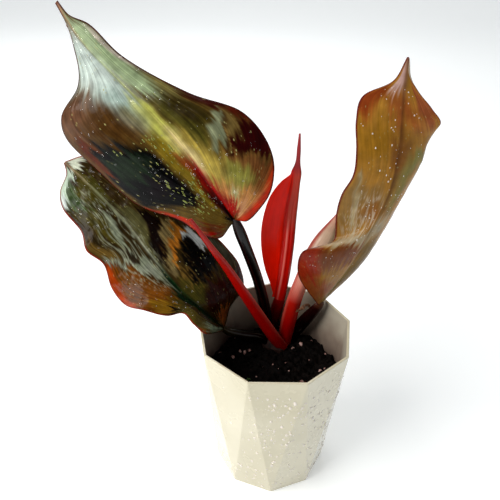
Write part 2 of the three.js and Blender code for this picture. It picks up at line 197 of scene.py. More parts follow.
# Pot
# A thin-walled pot moulded in glossy cream plastic. Its rim and its foot are nine-cornered, the foot
# turned by half a corner, so that eighteen long triangles join them.
pot_height = 0.1432
pot_top_radius = 0.063
pot_bottom_radius = 0.0487
pot_corners = 9
pot_wall = 0.0021
pot_floor = 0.003
pot_edge_round = 0.0006
# How the inside darkens towards the soil: partly a stain, partly painted shade.
stain_and_shade_bottom = 0.08
stain_and_shade_top = 0.122
stain_and_shade_unevenness = 0.03

corner_stretch = 1 / np.cos(np.pi / pot_corners)
pot_slope = (pot_top_radius - pot_bottom_radius) / pot_height


def corner_ring(radius, height, turn):
    """Corners at equal angles on a circle, counted clockwise from the front, as seen from above."""
    angle = (np.arange(pot_corners) + turn) * 2 * np.pi / pot_corners
    return np.stack([-radius * np.sin(angle), -radius * np.cos(angle), np.full(pot_corners, height)], axis=1)


inner_top_radius = pot_top_radius - pot_wall * corner_stretch
inner_bottom_radius = pot_bottom_radius + pot_slope * pot_floor - pot_wall * corner_stretch
pot_rings = np.concatenate([
    corner_ring(pot_bottom_radius, 0, 1),
    corner_ring(pot_top_radius, pot_height, 0.5),
    corner_ring(inner_top_radius, pot_height, 0.5),
    corner_ring(inner_bottom_radius, pot_floor, 1),
])
here = np.arange(pot_corners)
after = (here + 1) % pot_corners
foot, rim, lip, bed = (here + n * pot_corners for n in range(4))
foot_next, rim_next, lip_next, bed_next = (after + n * pot_corners for n in range(4))
pot_faces = [
    *np.stack([foot, rim_next, rim], axis=1),
    *np.stack([foot, foot_next, rim_next], axis=1),
    *np.stack([rim, rim_next, lip_next, lip], axis=1),
    *np.stack([lip, lip_next, bed], axis=1),
    *np.stack([lip_next, bed_next, bed], axis=1),
    foot[::-1],
    bed,
]
pot_slots = [0] * (3 * pot_corners) + [1] * (2 * pot_corners) + [0, 1]


def arithmetic(tree, operation, *values):
    """The outcome of a sum with sockets or plain values."""
    return add_node(tree, "ShaderNodeMath", dict(enumerate(values)), operation=operation).outputs[0]


def between(tree, factor, low, high, start=0.0, end=1.0, clamp=True):
    """A value that runs from low to high while the factor runs from start to end."""
    ends = {"From Min": start, "From Max": end, "To Min": low, "To Max": high}
    return add_node(tree, "ShaderNodeMapRange", {"Value": factor, **ends}, clamp=clamp).outputs["Result"]


def add_relief(tree, shader, height, strength, depth):
    """Fine bumps on a shader's surface."""
    bumps = add_node(tree, "ShaderNodeBump", {"Strength": strength, "Distance": depth, "Height": height})
    tree.links.new(bumps.outputs["Normal"], shader.inputs["Normal"])


def mottled_finish(name, grain, *stops, gloss=None, relief=None, **constants):
    """A material whose colour runs through (place, colour) stops over a noise. Grain holds the noise's
    scale and detail, gloss those of a noise and the roughness at its low and high end, and relief
    those of a noise and the strength and depth of its bumps."""
    material, tree, shader = new_material(name, **constants)
    where = add_node(tree, "ShaderNodeTexCoord").outputs["Object"]
    tree.links.new(colour_ramp(tree, noise(tree, *grain, where), *stops), shader.inputs["Base Color"])
    if gloss:
        roughness = between(tree, noise(tree, *gloss[:2], where), *gloss[2:])
        tree.links.new(roughness, shader.inputs["Roughness"])
    if relief:
        add_relief(tree, shader, noise(tree, *relief[:2], where), *relief[2:])
    return material


pot_material = mottled_finish(
    "cream_plastic", (22.0, 4.0), (0.3, (0.53, 0.48, 0.33)), (0.7, (0.61, 0.56, 0.41)),
    gloss=(60.0, 6.0, 0.16, 0.36), relief=(420.0, 2.0, 0.06, 0.0004),
    Coat_Weight=0.7, Coat_Roughness=0.06, IOR=1.5,
)

# The inside darkens towards the bottom: partly a soil stain, partly painted shade in the deep hollow.
inner_material, tree, shader = new_material("stained_and_shaded_plastic", Coat_Weight=0.2, IOR=1.5)
where = add_node(tree, "ShaderNodeTexCoord").outputs["Object"]
height = add_node(tree, "ShaderNodeSeparateXYZ", {"Vector": where}).outputs["Z"]
blotches = noise(tree, 45.0, 5.0, where)
uneven = arithmetic(tree, "MULTIPLY", blotches, stain_and_shade_unevenness)
stain_and_shade = between(tree, arithmetic(tree, "SUBTRACT", height, uneven), 0.0, 1.0, stain_and_shade_bottom, stain_and_shade_top)
stain_and_shade_colour = colour_ramp(
    tree, stain_and_shade, (0.0, (0.06, 0.035, 0.028)), (0.45, (0.22, 0.17, 0.13)), (1.0, (0.42, 0.38, 0.30)),
)
tree.links.new(stain_and_shade_colour, shader.inputs["Base Color"])
tree.links.new(between(tree, blotches, 0.3, 0.6), shader.inputs["Roughness"])

pot = mesh_object(
    "faceted_pot", pot_rings, pot_faces, [pot_material, inner_material], smooth=False, slots=pot_slots,
)
rounded = pot.modifiers.new("rounded_edges", "BEVEL")
rounded.width = pot_edge_round
rounded.segments = 3
rounded.limit_method = "ANGLE"
rounded.angle_limit = np.radians(3)
rounded.harden_normals = True
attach(pot, "root")
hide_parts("pot")

# Soil
# A dark peat mix that fills the pot to three fingers below its rim, in crumbs and small clods.
soil_level = 0.098
soil_lump = 0.0024
soil_gap = 0.0004
soil_base = 0.07
soil_rings = 120
soil_spokes = 324
lattice_size = 32
clod_size = 0.0055
clod_height = 0.0036
small_clod_size = 0.0026
small_clod_height = 0.0016
grain_size = 0.0012
grain_height = 0.0008
clod_sink = 0.002
crumb_count = 420
crumb_least = 0.0006
crumb_spread = 0.0016


def clouds(points, size, seed):
    """Smooth noise from 0 to 1: a random value at each corner of a lattice, blended across its cells."""
    lattice = np.random.default_rng(seed).random((lattice_size,) * points.shape[-1])
    cell = np.floor(points / size)
    t = points / size - cell
    t = t * t * (3 - 2 * t)
    total = 0
    for corner in np.ndindex((2,) * points.shape[-1]):
        weight = np.prod(np.where(corner, t, 1 - t), axis=-1)
        index = (cell.astype(int) + corner) % lattice_size
        total = total + weight * lattice[tuple(np.moveaxis(index, -1, 0))]
    return total


def inner_outline(height, gap):
    """The pot's hollow at a height: eighteen corners, each on one of the edges that join the foot's
    corners to the rim's."""
    inset = (pot_wall + gap) * corner_stretch
    low = corner_ring(pot_bottom_radius + pot_slope * pot_floor - inset, pot_floor, 1)
    high = corner_ring(pot_top_radius - inset, pot_height, 0.5)
    share = (height - pot_floor) / (pot_height - pot_floor)
    onward = low + (np.roll(high, -1, axis=0) - low) * share
    straight = low + (high - low) * share
    return np.stack([straight, onward], axis=1).reshape(-1, 3)[:, :2]


def reach(outline, angle):
    """How far it is from the middle to an outline, along each angle: the least distance to the lines
    through its edges."""
    run = np.roll(outline, -1, axis=0) - outline
    normal = np.stack([-run[:, 1], run[:, 0]], axis=1)
    distance = (normal * outline).sum(1)
    facing = normal @ np.stack([np.cos(angle), np.sin(angle)])
    length = distance[:, None] / np.where(np.abs(facing) < 1e-12, 1e-12, facing)
    return np.where(length > 0, length, np.inf).min(0)


def soil_height(x, y):
    """Broad lumps from three crossing waves, as in the solid, with clods and grains on them."""
    a, b = x * 1000, y * 1000
    broad = np.sin(a * 0.11 + 1.3) * np.cos(b * 0.13 - 0.4)
    middling = np.sin(a * 0.31 - b * 0.23 + 0.7) * 0.6
    fine = np.sin(a * 0.52 + 2.1) * np.sin(b * 0.61 + 0.9) * 0.7
    lumpy = soil_level + soil_lump * (broad + middling + fine) * 0.8
    spot = np.stack([x, y], axis=-1) + 1
    clods = clod_height * np.abs(clouds(spot, clod_size, seed=3) - 0.5)
    clods = clods + small_clod_height * clouds(spot, small_clod_size, seed=4)
    return lumpy + clods + grain_height * clouds(spot, grain_size, seed=5) - clod_sink


angle = np.linspace(0, 2 * np.pi, soil_spokes, endpoint=False)
ring = np.sqrt(np.linspace(1, 0.0004, soil_rings))
edge_reach = reach(inner_outline(soil_level, soil_gap), angle)
soil_x = ring[:, None] * edge_reach * np.cos(angle)
soil_y = ring[:, None] * edge_reach * np.sin(angle)
soil_top = np.stack([soil_x, soil_y, soil_height(soil_x, soil_y)], axis=-1)
base_reach = reach(inner_outline(soil_base, soil_gap), angle)
soil_bottom = np.stack([
    base_reach * np.cos(angle), base_reach * np.sin(angle), np.full(soil_spokes, soil_base),
], axis=-1)
soil_points = np.concatenate([soil_bottom[None], soil_top])
soil_grid = grid_faces(soil_rings + 1, soil_spokes, wrap=True)
last_ring = soil_rings * soil_spokes + np.arange(soil_spokes)
soil_faces = [*soil_grid, last_ring, np.arange(soil_spokes)[::-1]]

soil_material = mottled_finish(
    "peat", (420.0, 6.0),
    (0.35, (0.001, 0.0007, 0.0007)), (0.62, (0.004, 0.0025, 0.002)), (0.75, (0.012, 0.006, 0.005)),
    gloss=(420.0, 6.0, 0.55, 0.95), relief=(1500.0, 3.0, 0.5, 0.0004), Specular_IOR_Level=0.05,
)
soil = mesh_object("peat_bed", soil_points, soil_faces, [soil_material])
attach(soil, "root")
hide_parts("soil")


def unit(vectors):
    """The vectors at length one."""
    return vectors / np.linalg.norm(vectors, axis=-1, keepdims=True)


def lump_template(rings=5, spokes=7):
    """A ball's points and faces: rings of latitude between two poles."""
    latitude = np.linspace(-np.pi / 2, np.pi / 2, rings + 2)[1:-1, None]
    longitude = np.arange(spokes) * 2 * np.pi / spokes
    belt = np.stack([
        np.cos(latitude) * np.cos(longitude), np.cos(latitude) * np.sin(longitude),
        np.broadcast_to(np.sin(latitude), (rings, spokes)),
    ], axis=-1).reshape(-1, 3)
    points = np.concatenate([belt, [[0, 0, -1], [0, 0, 1]]])
    turn = np.arange(spokes)
    after = (turn + 1) % spokes
    south = np.stack([np.full(spokes, rings * spokes), after, turn], axis=1)
    top = (rings - 1) * spokes
    north = np.stack([np.full(spokes, rings * spokes + 1), top + turn, top + after], axis=1)
    return points, [*grid_faces(rings, spokes, wrap=True), *south, *north]


def repeated(faces, size, count):
    """The faces of many like shapes in one mesh, each shape numbered on from the one before it."""
    return [np.asarray(face) + n * size for n in range(count) for face in faces]


def lumps(centres, sizes, seed, roughness=0.35):
    """Points and faces of many irregular lumps: balls stretched three ways, turned at random, and
    dented by random amounts at their corners."""
    rng = np.random.default_rng(seed)
    shape, faces = lump_template()
    count = len(centres)
    dents = 1 + roughness * (rng.random((count, len(shape), 1)) - 0.5)
    frames = unit(rng.normal(size=(count, 3, 3)))
    frames[:, 1] = unit(np.cross(frames[:, 0], frames[:, 1]))
    frames[:, 2] = np.cross(frames[:, 0], frames[:, 1])
    body = (shape * sizes[:, None, :] * dents) @ frames
    points = centres[:, None, :] + body
    return points.reshape(-1, 3), repeated(faces, len(shape), count)


rng = np.random.default_rng(7)
angles = rng.random(crumb_count) * 2 * np.pi
reaches = np.sqrt(rng.random(crumb_count)) * reach(inner_outline(soil_level, 0.002), angles) * 0.97
crumb_size = crumb_least + crumb_spread * rng.random(crumb_count) ** 2
crumb_place = np.stack([reaches * np.cos(angles), reaches * np.sin(angles)], axis=1)
crumb_height = soil_height(*crumb_place.T) + crumb_size * 0.3
crumb_centres = np.concatenate([crumb_place, crumb_height[:, None]], axis=1)
crumb_sizes = crumb_size[:, None] * (0.6 + 0.6 * rng.random((crumb_count, 3)))
crumb_points, crumb_faces = lumps(crumb_centres, crumb_sizes, seed=8)
crumbs = mesh_object("peat_crumbs", crumb_points, crumb_faces, [soil_material])
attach(crumbs, "root")

# Perlite
# Puffed white volcanic grit mixed into the soil, stained pink and brown by the peat. A small green
# scrap of leaf lies at the front of it.
perlite_places = [
    # x, y and radius in millimetres
    (26, 28, 1.9), (18.5, 25, 1.6), (-34, 14, 1.7), (-28, 19, 1.4), (-24, 18, 1.8), (-20, 20.5, 1.5),
    (40, -1, 1.6), (44, -0.5, 1.2), (23.5, -13, 1.8), (13.5, -2, 1.1), (5, -1, 0.9), (0, 2.4, 0.8),
    (-9, 2.3, 0.8), (11, 7.5, 0.7), (-14, -8, 0.9), (32, 12, 0.9), (-40, -3, 1.0), (-2, -24, 0.9),
    (36, 35, 1.2), (-15, 45, 1.3), (20, 50, 1.2), (-33, 38, 1.1), (47, 20, 1.0), (-46, 20, 1.2),
    (8, -31, 0.8), (-25, -22, 0.9), (30, -26, 1.0),
]
bits = np.array(perlite_places) / 1000
bit_height = soil_height(bits[:, 0], bits[:, 1]) + bits[:, 2] * 0.45
bit_centres = np.column_stack([bits[:, :2], bit_height])
bit_sizes = bits[:, 2:] * (0.65 + 0.5 * np.random.default_rng(9).random((len(bits), 3)))
bit_points, bit_faces = lumps(bit_centres, bit_sizes, seed=10, roughness=0.5)
perlite_material = mottled_finish(
    "perlite", (160.0, 4.0),
    (0.35, (0.10, 0.04, 0.035)), (0.5, (0.36, 0.20, 0.17)), (0.65, (0.60, 0.44, 0.41)),
    gloss=(160.0, 4.0, 0.5, 0.9), Specular_IOR_Level=0.3,
)
perlite = mesh_object("perlite_bits", bit_points, bit_faces, [perlite_material])
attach(perlite, "root")
scrap_places = np.array([(-21, -14), (-19.6, -13.2), (-22.3, -15.1), (-20.6, -15.4)]) / 1000
scrap_centres = np.column_stack([scrap_places, soil_height(*scrap_places.T) + 0.0004])
scrap_sizes = np.array([(1.7, 1.0, 0.5), (1.1, 0.8, 0.5), (1.2, 0.7, 0.4), (0.9, 0.7, 0.4)]) / 1000
scrap_points, scrap_faces = lumps(scrap_centres, scrap_sizes, seed=13, roughness=0.5)
scrap_material = mottled_finish(
    "green_scrap", (700.0, 3.0), (0.35, (0.02, 0.05, 0.012)), (0.65, (0.10, 0.18, 0.05)),
    Specular_IOR_Level=0.2,
)
scrap = mesh_object("green_scrap", scrap_points, scrap_faces, [scrap_material])
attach(scrap, "root")

# Upper leaf
# The largest leaf: one leathery sheet, nine tenths of a millimetre thick, that hangs from the end of
# its stalk by the notch of its heart and has a stout midrib underneath. It is wet from spraying.
upper_leaf = {
    "midrib": [
        (0, -33, 27, 227), (0.16, -50, 30, 251), (0.36, -71, 36, 280), (0.56, -96, 48, 305),
        (0.74, -123, 64, 327), (0.88, -146, 80, 346), (1, -164, 98, 367),
    ],
    "left": [
        (0, -36, 25, 223), (0.03, -42, 20, 216), (0.08, -55, 21, 216), (0.16, -73, 27, 225),
        (0.3, -109, 38, 234), (0.42, -138, 50, 256), (0.52, -161, 60, 277), (0.6, -163, 63, 293),
        (0.7, -149, 68, 314), (0.84, -151, 80, 340), (0.94, -158, 91, 356), (1, -165, 98, 366),
    ],
    "right": [
        (0, -30, 26, 228), (0.03, -24, 23, 228), (0.09, -11, 23, 243), (0.2, -4, 28, 266),
        (0.32, -10, 36, 287), (0.44, -28, 44, 305), (0.58, -66, 54, 315), (0.74, -115, 72, 336),
        (0.86, -139, 84, 355), (0.94, -155, 92, 360), (1, -163, 98, 368),
    ],
    "arch": 0.1,
    "rib_depth": 0.0026,
}
upper_leaf_zones = [
    # colour, softness of the edge, outline in hundredths of share and side
    # These four pale sage, silver and grey-green zones towards the tip are a painted reflection: the wet
    # gloss mirroring the bright window, painted into the colour.
    ((160, 176, 138), 8, [
        (95, 24), (89, 94), (80, 91), (75, 97), (68, 87), (61, 61), (60, 36), (64, 14), (75, 0), (85, -1),
        (90, 3),
    ]),
    ((192, 182, 168), 5, [
        (85, 96), (80, 91), (75, 97), (70, 99), (66, 92), (72, 79), (81, 67), (85, 73),
    ]),
    ((196, 208, 200), 11, [
        (90, -14), (80, 3), (70, 2), (60, -2), (53, -21), (57, -28), (61, -39), (65, -58), (67, -81),
        (70, -104), (81, -104), (88, -104),
    ]),
    ((165, 185, 175), 11, [
        (66, -12), (59, -2), (48, -9), (50, -18), (57, -26), (61, -39), (65, -44), (66, -23),
    ]),
    ((130, 125, 95), 5, [(56, -13), (51, -9), (44, -12), (46, -20), (50, -23), (55, -28)]),
    ((125, 115, 70), 6, [(69, 94), (64, 100), (60, 99), (55, 86), (56, 67), (61, 65), (65, 75)]),
    ((85, 80, 35), 6, [
        (59, 17), (59, 46), (55, 59), (48, 64), (42, 48), (36, 38), (39, 24), (42, 16), (50, 16),
    ]),
    ((62, 52, 20), 6, [(59, 61), (57, 75), (52, 70), (49, 69), (45, 49), (46, 34), (52, 32), (57, 38)]),
    ((70, 25, 12), 4, [
        (62, 104), (55, 104), (44, 104), (45, 92), (47, 83), (51, 76), (55, 80), (60, 92),
    ]),
    ((180, 160, 80), 8, [
        (41, 12), (39, 26), (34, 34), (29, 40), (22, 34), (16, 21), (19, 4), (26, 4), (33, 7),
    ]),
    ((190, 190, 100), 5, [
        (62, -1), (58, 11), (50, 9), (42, 9), (34, 6), (30, 4), (31, -4), (35, -8), (47, -9), (57, -8),
    ]),
    ((208, 188, 138), 5, [(44, 6), (39, 11), (29, 9), (24, 6), (28, -1), (34, -2), (39, -2)]),
    ((140, 120, 30), 4, [(46, -10), (39, -5), (34, -9), (34, -17), (40, -16)]),
    ((128, 132, 105), 2, [
        (46, 65), (46, 80), (46, 86), (37, 60), (33, 49), (33, 39), (38, 43), (42, 48),
    ]),
    ((70, 40, 20), 2, [(45, 86), (44, 86), (34, 61), (31, 50), (31, 48), (38, 64)]),
    ((125, 105, 62), 2, [(44, 86), (40, 86), (36, 74), (33, 64), (32, 56), (38, 68)]),
    ((90, 35, 18), 3, [(44, 104), (40, 104), (39, 89), (42, 88), (45, 89)]),
    ((125, 85, 50), 5, [(29, 49), (28, 73), (26, 89), (22, 98), (17, 98), (18, 77), (21, 62), (24, 48)]),
    ((150, 145, 75), 5, [(26, 45), (23, 66), (19, 68), (15, 51), (16, 33), (21, 33)]),
    ((120, 75, 40), 5, [(22, 73), (21, 97), (15, 100), (16, 76)]),
    ((60, 6, 3), 2, [
        (30, 51), (33, 63), (36, 76), (39, 85), (39, 104), (31, 104), (27, 100), (27, 91), (28, 82),
        (30, 74), (29, 61),
    ]),
    # These three pale patches on the right lobe by the base are painted sheen: highlights painted into the
    # colour.
    ((195, 140, 85), 6, [
        (19, 22), (15, 51), (15, 84), (12, 95), (8, 89), (6, 73), (6, 45), (10, 20), (15, 14),
    ]),
    ((200, 150, 110), 4, [(9, 42), (10, 59), (7, 72), (5, 59), (6, 39)]),
    ((180, 170, 120), 3, [(17, 34), (16, 46), (11, 46), (10, 32), (14, 28)]),
    ((204, 58, 22), 5, [(26, 106), (1, 106), (1, 40), (4, 58), (9, 80), (16, 92)]),
    ((88, 62, 30), 6, [
        (66, -78), (60, -40), (52, -25), (45, -19), (44, -32), (47, -52), (48, -72), (51, -73), (55, -61),
        (61, -58),
    ]),
    ((112, 82, 62), 7, [(66, -104), (66, -78), (61, -56), (55, -59), (51, -73), (50, -89), (52, -104)]),
    ((105, 48, 18), 4, [(50, -95), (50, -76), (47, -72), (42, -84), (39, -89), (41, -96), (48, -99)]),
    ((135, 115, 40), 5, [
        (43, -18), (40, -11), (29, -7), (18, -6), (9, -9), (5, -15), (12, -26), (21, -22), (30, -21),
        (37, -22),
    ]),
    ((105, 85, 38), 5, [
        (27, -94), (22, -73), (16, -46), (10, -15), (3, -18), (2, -80), (10, -80), (22, -93),
    ]),
    ((105, 55, 25), 4, [(11, -69), (5, -42), (1, -100), (7, -95)]),
    # These four zones, a blue-black patch with a grey-green smear and dark spots in it, are a painted
    # reflection: the glossy skin mirroring the dark room below, painted into the colour.
    ((4, 4, 8), 3, [
        (47, -72), (47, -50), (43, -34), (39, -29), (33, -26), (25, -25), (19, -23), (15, -29), (17, -50),
        (22, -73), (27, -94), (34, -94), (39, -89), (43, -81),
    ]),
    ((5, 5, 22), 3, [(46, -72), (44, -63), (39, -78), (34, -85), (35, -94), (40, -87)]),
    ((40, 52, 38), 3, [
        (44, -59), (42, -42), (38, -38), (34, -44), (34, -56), (33, -66), (34, -81), (37, -86), (41, -76),
    ]),
    ((26, 14, 22), 4, [(34, -59), (29, -33), (24, -48), (28, -74)]),
    ((190, 60, 35), 2, [(30, -98), (26, -94), (20, -90), (15, -85), (10, -89), (10, -104), (25, -104)]),
    ((150, 25, 12), 2, [(10, -94), (7, -104), (1, -104), (4, -85), (7, -89)]),
    ((158, 26, 14), 4, [
        (34, -6), (27, 3), (21, 9), (15, 18), (10, 34), (5, 48), (1, -9), (6, -11), (17, -10), (23, -10),
    ]),
    ((56, 9, 9), 3, [(25, -9), (20, -7), (12, -5), (7, 3), (1, 20), (1, -16), (8, -14), (16, -12)]),
    ((16, 6, 8), 2, [(5, -10), (4, 12), (1, 30), (-2, 20), (-2, -38), (3, -22)]),
]
leaf_thickness = 0.0009
leaf_rows = 220
leaf_columns = 121
rib_half_width = 0.0016
margin_width = 0.0011
rib_line = 0.0012
# The fine relief of the skin: the channel over the midrib, the grooves over the side veins and the
# puckers between them.
channel_half_width = 0.0011
channel_depth = 0.0004
groove_depth = 0.00016
pucker_size = 0.0065
small_pucker_size = 0.003
# Side veins: how closely they stand, and how softly each fades.
vein_closeness = 4.5
vein_softness = 0.09
# How far fraying carries a zone's edge, as a share of the leaf, and the sizes of its noise.
fray_reach = 0.055
fray_size = 0.07
fine_fray_size = 0.03
# Broad noise moves a zone's edge too, by other amounts along and across the leaf.
patch_size = 0.16
patch_reach_along = 0.03
patch_reach_across = 0.08
# Swirls, thin painted highlights: the noise whose contour lines they are, how many of those there
# are, and how wide and how strong they come out.
swirl_size = 0.16
fine_swirl_size = 0.06
swirl_contours = 5
swirl_softness = 0.14
swirl_strength = 0.55
rib_strength = 0.8
# A leaf is longer than its half is wide, so a share counts for more than a side in its patterns.
share_stretch = 2.5
# Noise is read this far from its lattice's corner, where no place on a leaf is below zero.
noise_corner = 40
# The leaf's own colour against the colour that it shows in this light: a power and a factor.
skin_depth = 1.18
skin_shade = 0.72


def rail(knots, share):
    """Points along a rail, in metres. Its knots are (share, x, y, z) in millimetres: a cubic runs
    through them, and its slope at each is the mean of both sides' slopes, the shorter counting more."""
    places, points = np.split(np.array(knots, dtype=float), [1], axis=1)
    gaps = np.diff(places, axis=0)
    slopes = np.diff(points, axis=0) / gaps
    nearness = gaps[:-1] / (gaps[:-1] + gaps[1:])
    inner = slopes[1:] * nearness + slopes[:-1] * (1 - nearness)
    tangents = np.concatenate([slopes[:1], inner, slopes[-1:]])
    n = np.clip(np.searchsorted(places[:, 0], share, side="left") - 1, 0, len(gaps) - 1)
    t = (share[..., None] - places[n]) / gaps[n]
    blend = t * t * (3 - 2 * t)
    bulge = tangents[n] * (t**3 - 2 * t**2 + t) + tangents[n + 1] * (t**3 - t**2)
    return (points[n] * (1 - blend) + points[n + 1] * blend + bulge * gaps[n]) / 1000


def blade_surface(leaf, share, side):
    """Middle of a blade's thickness. Side runs from -1 at the left edge over 0 at the midrib to 1 at
    the right edge. Each half is a parabola from midrib to edge, over its fold or an arch, plus a
    wave across the face that grows with the square of the side."""
    rib, left, right = (rail(leaf[key], share) for key in ("midrib", "left", "right"))
    ahead, behind = (rail(leaf["midrib"], np.clip(share + step, 0, 1)) for step in (0.01, -0.01))
    up = unit(np.cross(right - left, ahead - behind))
    rightward = side[..., None] >= 0
    edge = np.where(rightward, right, left)
    t = np.abs(side)[..., None]
    width = np.linalg.norm(edge - rib, axis=-1, keepdims=True)
    middle = (rib + edge) / 2 + up * width * leaf["arch"]
    if "fold" in leaf:
        middle = np.where(rightward, rail(leaf["fold"], share), middle)
    points = rib * (2 * t - 1) * (t - 1) + middle * 4 * t * (1 - t) + edge * t * (2 * t - 1)
    for turned, (depth, count, phase) in zip((~rightward, rightward), leaf.get("waves", ())):
        wave = np.sin(2 * np.pi * (count * share[..., None] + phase))
        points = points + turned * up * width * depth * t**2 * wave
    return points, width[..., 0]


def zone_mask(outline, share, side, softness):
    """1 inside an outline and 0 outside: the distance to its nearest edge, counted negative outside,
    through a smooth step. Share is stretched, since a leaf is longer than its half is wide."""
    stretch = (share_stretch, 1)
    start = np.array(outline) / 100 * stretch
    end = np.roll(start, -1, axis=0)
    run = end - start
    point = np.stack([share, side], axis=-1)[..., None, :] * stretch
    t = np.clip(((point - start) * run).sum(-1) / (run * run).sum(-1), 0, 1)
    distance = np.linalg.norm(point - start - t[..., None] * run, axis=-1).min(-1)
    passes = (start[:, 1] > point[..., 1]) != (end[:, 1] > point[..., 1])
    height = np.where(np.abs(run[:, 1]) < 1e-9, 1e-9, run[:, 1])
    beyond = point[..., 0] < start[:, 0] + run[:, 0] * (point[..., 1] - start[:, 1]) / height
    inside = (passes & beyond).sum(-1) % 2 == 1
    depth = np.clip(np.where(inside, distance, -distance) / (2 * softness / 100) + 0.5, 0, 1)
    return depth * depth * (3 - 2 * depth)


def linear(colour):
    """A colour of 0 to 255 a channel, as the eye reads it, as amounts of light."""
    return (np.array(colour) / 255) ** 2.2


def toned(pairs, share):
    """Colours at shares, blended between (share, colour) pairs."""
    marks = np.array([place for place, _ in pairs])
    tones = np.array([linear(colour) for _, colour in pairs])
    return np.stack([np.interp(share, marks, tones[:, channel]) for channel in range(3)], axis=-1)


def laid_over(tint, mask, colour):
    """The tint, with a colour blended in as far as the mask says."""
    return tint + np.clip(mask, 0, 1)[..., None] * (colour - tint)


def vein_lines(share, side):
    """Side veins fan out from the leaf's base and bend towards its tip: each is a line where the side
    grows with the square root of the share."""
    return side / np.sqrt(share + 0.03)


def side_veins(share, side, width):
    """1 along the side veins, fading to 0 beside them and close to the midrib."""
    line = np.exp(-((np.mod(vein_lines(share, side) * vein_closeness, 1) - 0.5) / vein_softness) ** 2)
    return line * np.clip(np.abs(side) * width / 0.004 - 0.5, 0, 1)


def flat_places(share, side):
    """Places on a blade laid flat, where broad noise is read."""
    return np.stack([share * share_stretch, side], axis=-1) + noise_corner


def vein_places(share, side):
    """Places counted across and along the side veins, where streaky noise is read."""
    return np.stack([vein_lines(share, side), share * 0.5], axis=-1) + noise_corner


def highlight_swirl_lines(share, side, outline, seed):
    """Painted highlights: thin lines within an outline, contour lines of a noise that is drawn out along the
    veins.
    """
    where = vein_places(share, side)
    field = clouds(where, swirl_size, seed) + 0.4 * clouds(where, fine_swirl_size, seed + 1)
    lines = np.exp(-((np.mod(field * swirl_contours, 1) - 0.5) / swirl_softness) ** 2)
    return lines * zone_mask(outline, share, side, softness=12)


def blade_grid():
    """Share and side over a blade's grid."""
    return np.meshgrid(np.linspace(0, 1, leaf_rows), np.linspace(-1, 1, leaf_columns), indexing="ij")


def paint_blade(leaf, ground, zones, margin, seed, rib, blur=1.7, swirls=(), paleness=0.3):
    """A blade's colours: zones laid over a ground colour one after another, and a thin margin of its
    own colour. The zones' edges are softened by the blur, broken up by broad noise, and frayed along
    the side veins by noise that is fine across them and long along them. Some zones are painted
    highlights and reflections. Swirls of painted highlight, the paler side veins and the midrib, whose
    colour runs through (share, colour) pairs, lie over the zones."""
    share, side = blade_grid()
    width = blade_surface(leaf, share, side)[1]
    broad = [clouds(flat_places(share, side), patch_size, seed + n) - 0.5 for n in range(2)]
    where = vein_places(share, side)
    streaks = clouds(where, fray_size, seed + 2) + 0.6 * clouds(where, fine_fray_size, seed + 3)
    fray = fray_reach * (streaks - 0.8)
    sideways = np.clip(fray * side / (2 * share + 0.06), -0.15, 0.15)
    moved_share = share + patch_reach_along * broad[0] + fray
    moved_side = side + patch_reach_across * broad[1] + sideways
    tint = np.broadcast_to(linear(ground), share.shape + (3,))
    for colour, softness, outline in zones:
        mask = zone_mask(outline, moved_share, moved_side, softness * blur)
        tint = laid_over(tint, mask, linear(colour))
    for colour, outline in swirls:
        mask = highlight_swirl_lines(share, side, outline, seed + 5)
        tint = laid_over(tint, swirl_strength * mask, linear(colour))
    tint = tint * (1 + paleness * side_veins(share, side, width)[..., None])
    on_rib = rib_strength * np.exp(-((side * width / rib_line) ** 2))
    tint = laid_over(tint, on_rib, toned(rib, share))
    tint = laid_over(tint, 1.5 - (1 - np.abs(side)) * width / margin_width, linear(margin))
    return tint**skin_depth * skin_shade


def blade_object(name, leaf, tints, materials, crumple, seed):
    """A blade as a closed sheet. Its upper face sinks along the midrib and the side veins, its lower
    face carries the midrib as a ridge, and both thin out towards the edge."""
    share, side = blade_grid()
    middle, width = blade_surface(leaf, share, side)
    along, across = np.gradient(middle, axis=(0, 1))
    normal = unit(np.cross(across, along))
    away = np.abs(side) * width
    veins = vein_lines(share, side)
    groove = side_veins(share, side, width)
    channel = np.exp(-((away / channel_half_width) ** 2)) * (1 - share)
    puckers = clouds(middle, pucker_size, seed) + 0.5 * clouds(middle, small_pucker_size, seed + 1) - 0.75
    fade = np.clip((1 - np.abs(side)) * 6, 0, 1)
    relief = (-groove_depth * groove - channel_depth * channel + crumple * puckers) * fade
    half = leaf_thickness / 2 * (0.45 + 0.55 * fade)
    ridge = leaf["rib_depth"] * (1 - share) ** 0.7 * np.exp(-((away / rib_half_width) ** 2))
    upper = middle + normal * (half + relief)[..., None]
    lower = middle - normal * (half - relief * 0.6 + ridge)[..., None]
    sheet = grid_faces(leaf_rows, leaf_columns)
    number = np.arange(share.size).reshape(share.shape)
    rim = np.concatenate([number[0, :-1], number[:-1, -1], number[-1, :0:-1], number[:0:-1, 0]])
    edge = np.stack([rim, rim + share.size, np.roll(rim, -1) + share.size, np.roll(rim, -1)], axis=1)
    faces = np.concatenate([sheet, sheet[:, ::-1] + share.size, edge])
    slots = np.repeat([0, 1, 0], [len(sheet), len(sheet), len(edge)])
    uv = np.stack([veins, share], axis=-1)
    piece = mesh_object(
        name, np.stack([upper, lower]), faces, materials, slots=slots,
        uvs={"veins": np.stack([uv, uv])}, tint=np.stack(tints),
    )
    return piece, upper, normal


